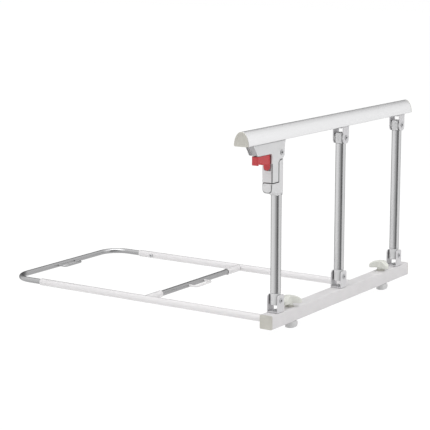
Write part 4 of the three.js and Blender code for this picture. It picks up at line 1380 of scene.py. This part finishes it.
@dataclass
class Studio:
    """The camera, the pale floor, the lamps and the surroundings."""

    camera_place: Point = (-3.1664, -2.1679, 0.9212)
    camera_yaw: float = 0.5893
    camera_pitch: float = 0.1847
    lens: float = 123.6
    sensor: float = 36.0
    clip: tuple[float, float] = (0.05, 60.0)
    floor_half: float = 14.0
    floor_drop: float = 0.5 * MM
    floor_tone: float = 0.92
    floor_glow: float = 0.90
    glow_strength: float = 1.05
    ambient: float = 0.72
    ceiling_level: float = 1.25
    ceiling_rise: tuple[float, float] = (0.45, 0.80)
    ground_level: float = 0.82
    ground_fall: tuple[float, float] = (-0.26, -0.46)
    room_levels: tuple[tuple[float, float], ...] = (
        (-180, 0.80), (-156, 0.50), (-134, 0.28), (-114, 0.06), (-102, 0.10), (-92, 0.75), (-60, 1.0),
        (-24, 0.80), (0, 0.30), (34, 0.08), (68, 0.35), (98, 1.0), (134, 1.05), (160, 0.95))
    target: Point = (0.0, 0.0, 0.2)
    lamps: tuple[Lamp, ...] = (
        Lamp("key", 164.0, 48.0, 3.2, 2.2, 18.0), Lamp("fill", 285.0, 30.0, 3.6, 2.6, 17.0),
        Lamp("top", 214.0, 86.0, 3.0, 2.4, 33.0))

    def build(self) -> None:
        """Builds the whole studio."""
        self._camera()
        self._floor()
        self._world()
        for lamp in self.lamps:
            self._hang(lamp)
        bpy.context.scene.view_settings.view_transform = "Standard"

    def _camera(self) -> None:
        """Sets the camera where the photograph was taken from."""
        data = bpy.data.cameras.new("camera")
        data.lens, data.sensor_width = self.lens, self.sensor
        data.clip_start, data.clip_end = self.clip
        camera = bpy.data.objects.new("camera", data)
        bpy.context.scene.collection.objects.link(camera)
        camera.location = self.camera_place
        camera.rotation_euler = Euler((QUARTER - self.camera_pitch, 0.0, self.camera_yaw - QUARTER), "XYZ")
        bpy.context.scene.camera = camera

    def _floor(self) -> None:
        """Lays a white floor that keeps the rail's soft shadow, and in which shiny pieces see the room."""
        half = self.floor_half
        corners = [(-half, -half, 0), (half, -half, 0), (half, half, 0), (-half, half, 0)]
        floor = skin("floor", corners, [(0, 1, 2, 3)], flat=True)
        floor.location.z = -self.floor_drop
        material = bpy.data.materials.new("studio_floor")
        material.use_nodes = True
        graph = Graph(material.node_tree)
        paths = graph.add("ShaderNodeLightPath").outputs
        matte = graph.add("ShaderNodeBsdfDiffuse", Color=grey(self.floor_tone)).outputs[0]
        glow = graph.add("ShaderNodeEmission", Color=grey(1.0), Strength=self.glow_strength).outputs[0]
        share = graph.math("MULTIPLY", paths["Is Camera Ray"], self.floor_glow)
        ground = graph.add("ShaderNodeMixShader", i0=share, i1=matte, i2=glow).outputs[0]
        toward = graph.add("ShaderNodeNewGeometry").outputs["Incoming"]
        away = graph.add("ShaderNodeVectorMath", {"operation": "SCALE"}, i0=toward, Scale=-1.0)
        mirrored = graph.add("ShaderNodeEmission", Color=self._room(graph, away.outputs[0]), Strength=1.0)
        both = graph.add("ShaderNodeMixShader", i0=paths["Is Glossy Ray"], i1=ground, i2=mirrored.outputs[0])
        graph.add("ShaderNodeOutputMaterial", Surface=both.outputs[0])
        floor.data.materials.append(material)

    def _room(self, graph: Graph, direction: Socket) -> Socket:
        """Gives the brightness of a direction in a pale room with a dark stretch at each side.

        Args:
            graph: the node graph to add to.
            direction: the direction of view.

        Returns:
            The colour.
        """
        way = graph.add("ShaderNodeSeparateXYZ", i0=direction).outputs
        bearing = graph.math("ARCTAN2", way["Y"], way["X"])
        ramp = graph.add("ShaderNodeValToRGB", i0=graph.remap(bearing, -math.pi, math.pi))
        elements = ramp.color_ramp.elements
        while len(elements) < len(self.room_levels):
            elements.new(0.5)
        for element, (degrees, level) in zip(elements, self.room_levels):
            element.position, element.color = (degrees + 180) / 360, grey(level)
        colour = ramp.outputs[0]
        for level, span in ((self.ceiling_level, self.ceiling_rise), (self.ground_level, self.ground_fall)):
            colour = graph.mix(graph.remap(way["Z"], *span), colour, grey(level))
        return colour

    def _world(self) -> None:
        """Surrounds the rail with white, which shiny pieces see as the room."""
        world = bpy.data.worlds.new("studio_room")
        bpy.context.scene.world = world
        world.use_nodes = True
        graph = Graph(world.node_tree)
        room = self._room(graph, graph.add("ShaderNodeTexCoord").outputs["Generated"])
        paths = graph.add("ShaderNodeLightPath").outputs
        mirrored = graph.mix(paths["Is Glossy Ray"], grey(self.ambient), room)
        seen = graph.math("MAXIMUM", paths["Is Camera Ray"], paths["Is Transmission Ray"])
        back = graph.add("ShaderNodeBackground", Color=graph.mix(seen, mirrored, grey(1.0)), Strength=1.0)
        graph.add("ShaderNodeOutputWorld", Surface=back.outputs[0])

    def _hang(self, lamp: Lamp) -> None:
        """Hangs one lamp.

        Args:
            lamp: its place, size and power.
        """
        data = bpy.data.lights.new(lamp.name, "AREA")
        data.shape, data.size, data.energy = "SQUARE", lamp.size, lamp.power
        light = bpy.data.objects.new(lamp.name, data)
        bpy.context.scene.collection.objects.link(light)
        a, e = math.radians(lamp.bearing), math.radians(lamp.elevation)
        out = Vector((math.cos(a) * math.cos(e), math.sin(a) * math.cos(e), math.sin(e)))
        light.location = Vector(self.target) + out * lamp.distance
        light.rotation_euler = out.to_track_quat("Z", "Y").to_euler()


def main() -> None:
    """Builds the studio and every sub-assembly."""
    logging.basicConfig(level=logging.INFO, format="%(name)s: %(message)s")
    Studio().build()
    bench = Bench()
    BaseBeam(bench).build()
    BedFrame(bench).build()
    Clamp(bench, "front", -56.0).build()
    Clamp(bench, "rear", 124.0).build()
    for station in STATIONS:
        Post(bench, station).build()
    Handrail(bench).build()
    Latch(bench).build()


if __name__ == "__main__":
    main()
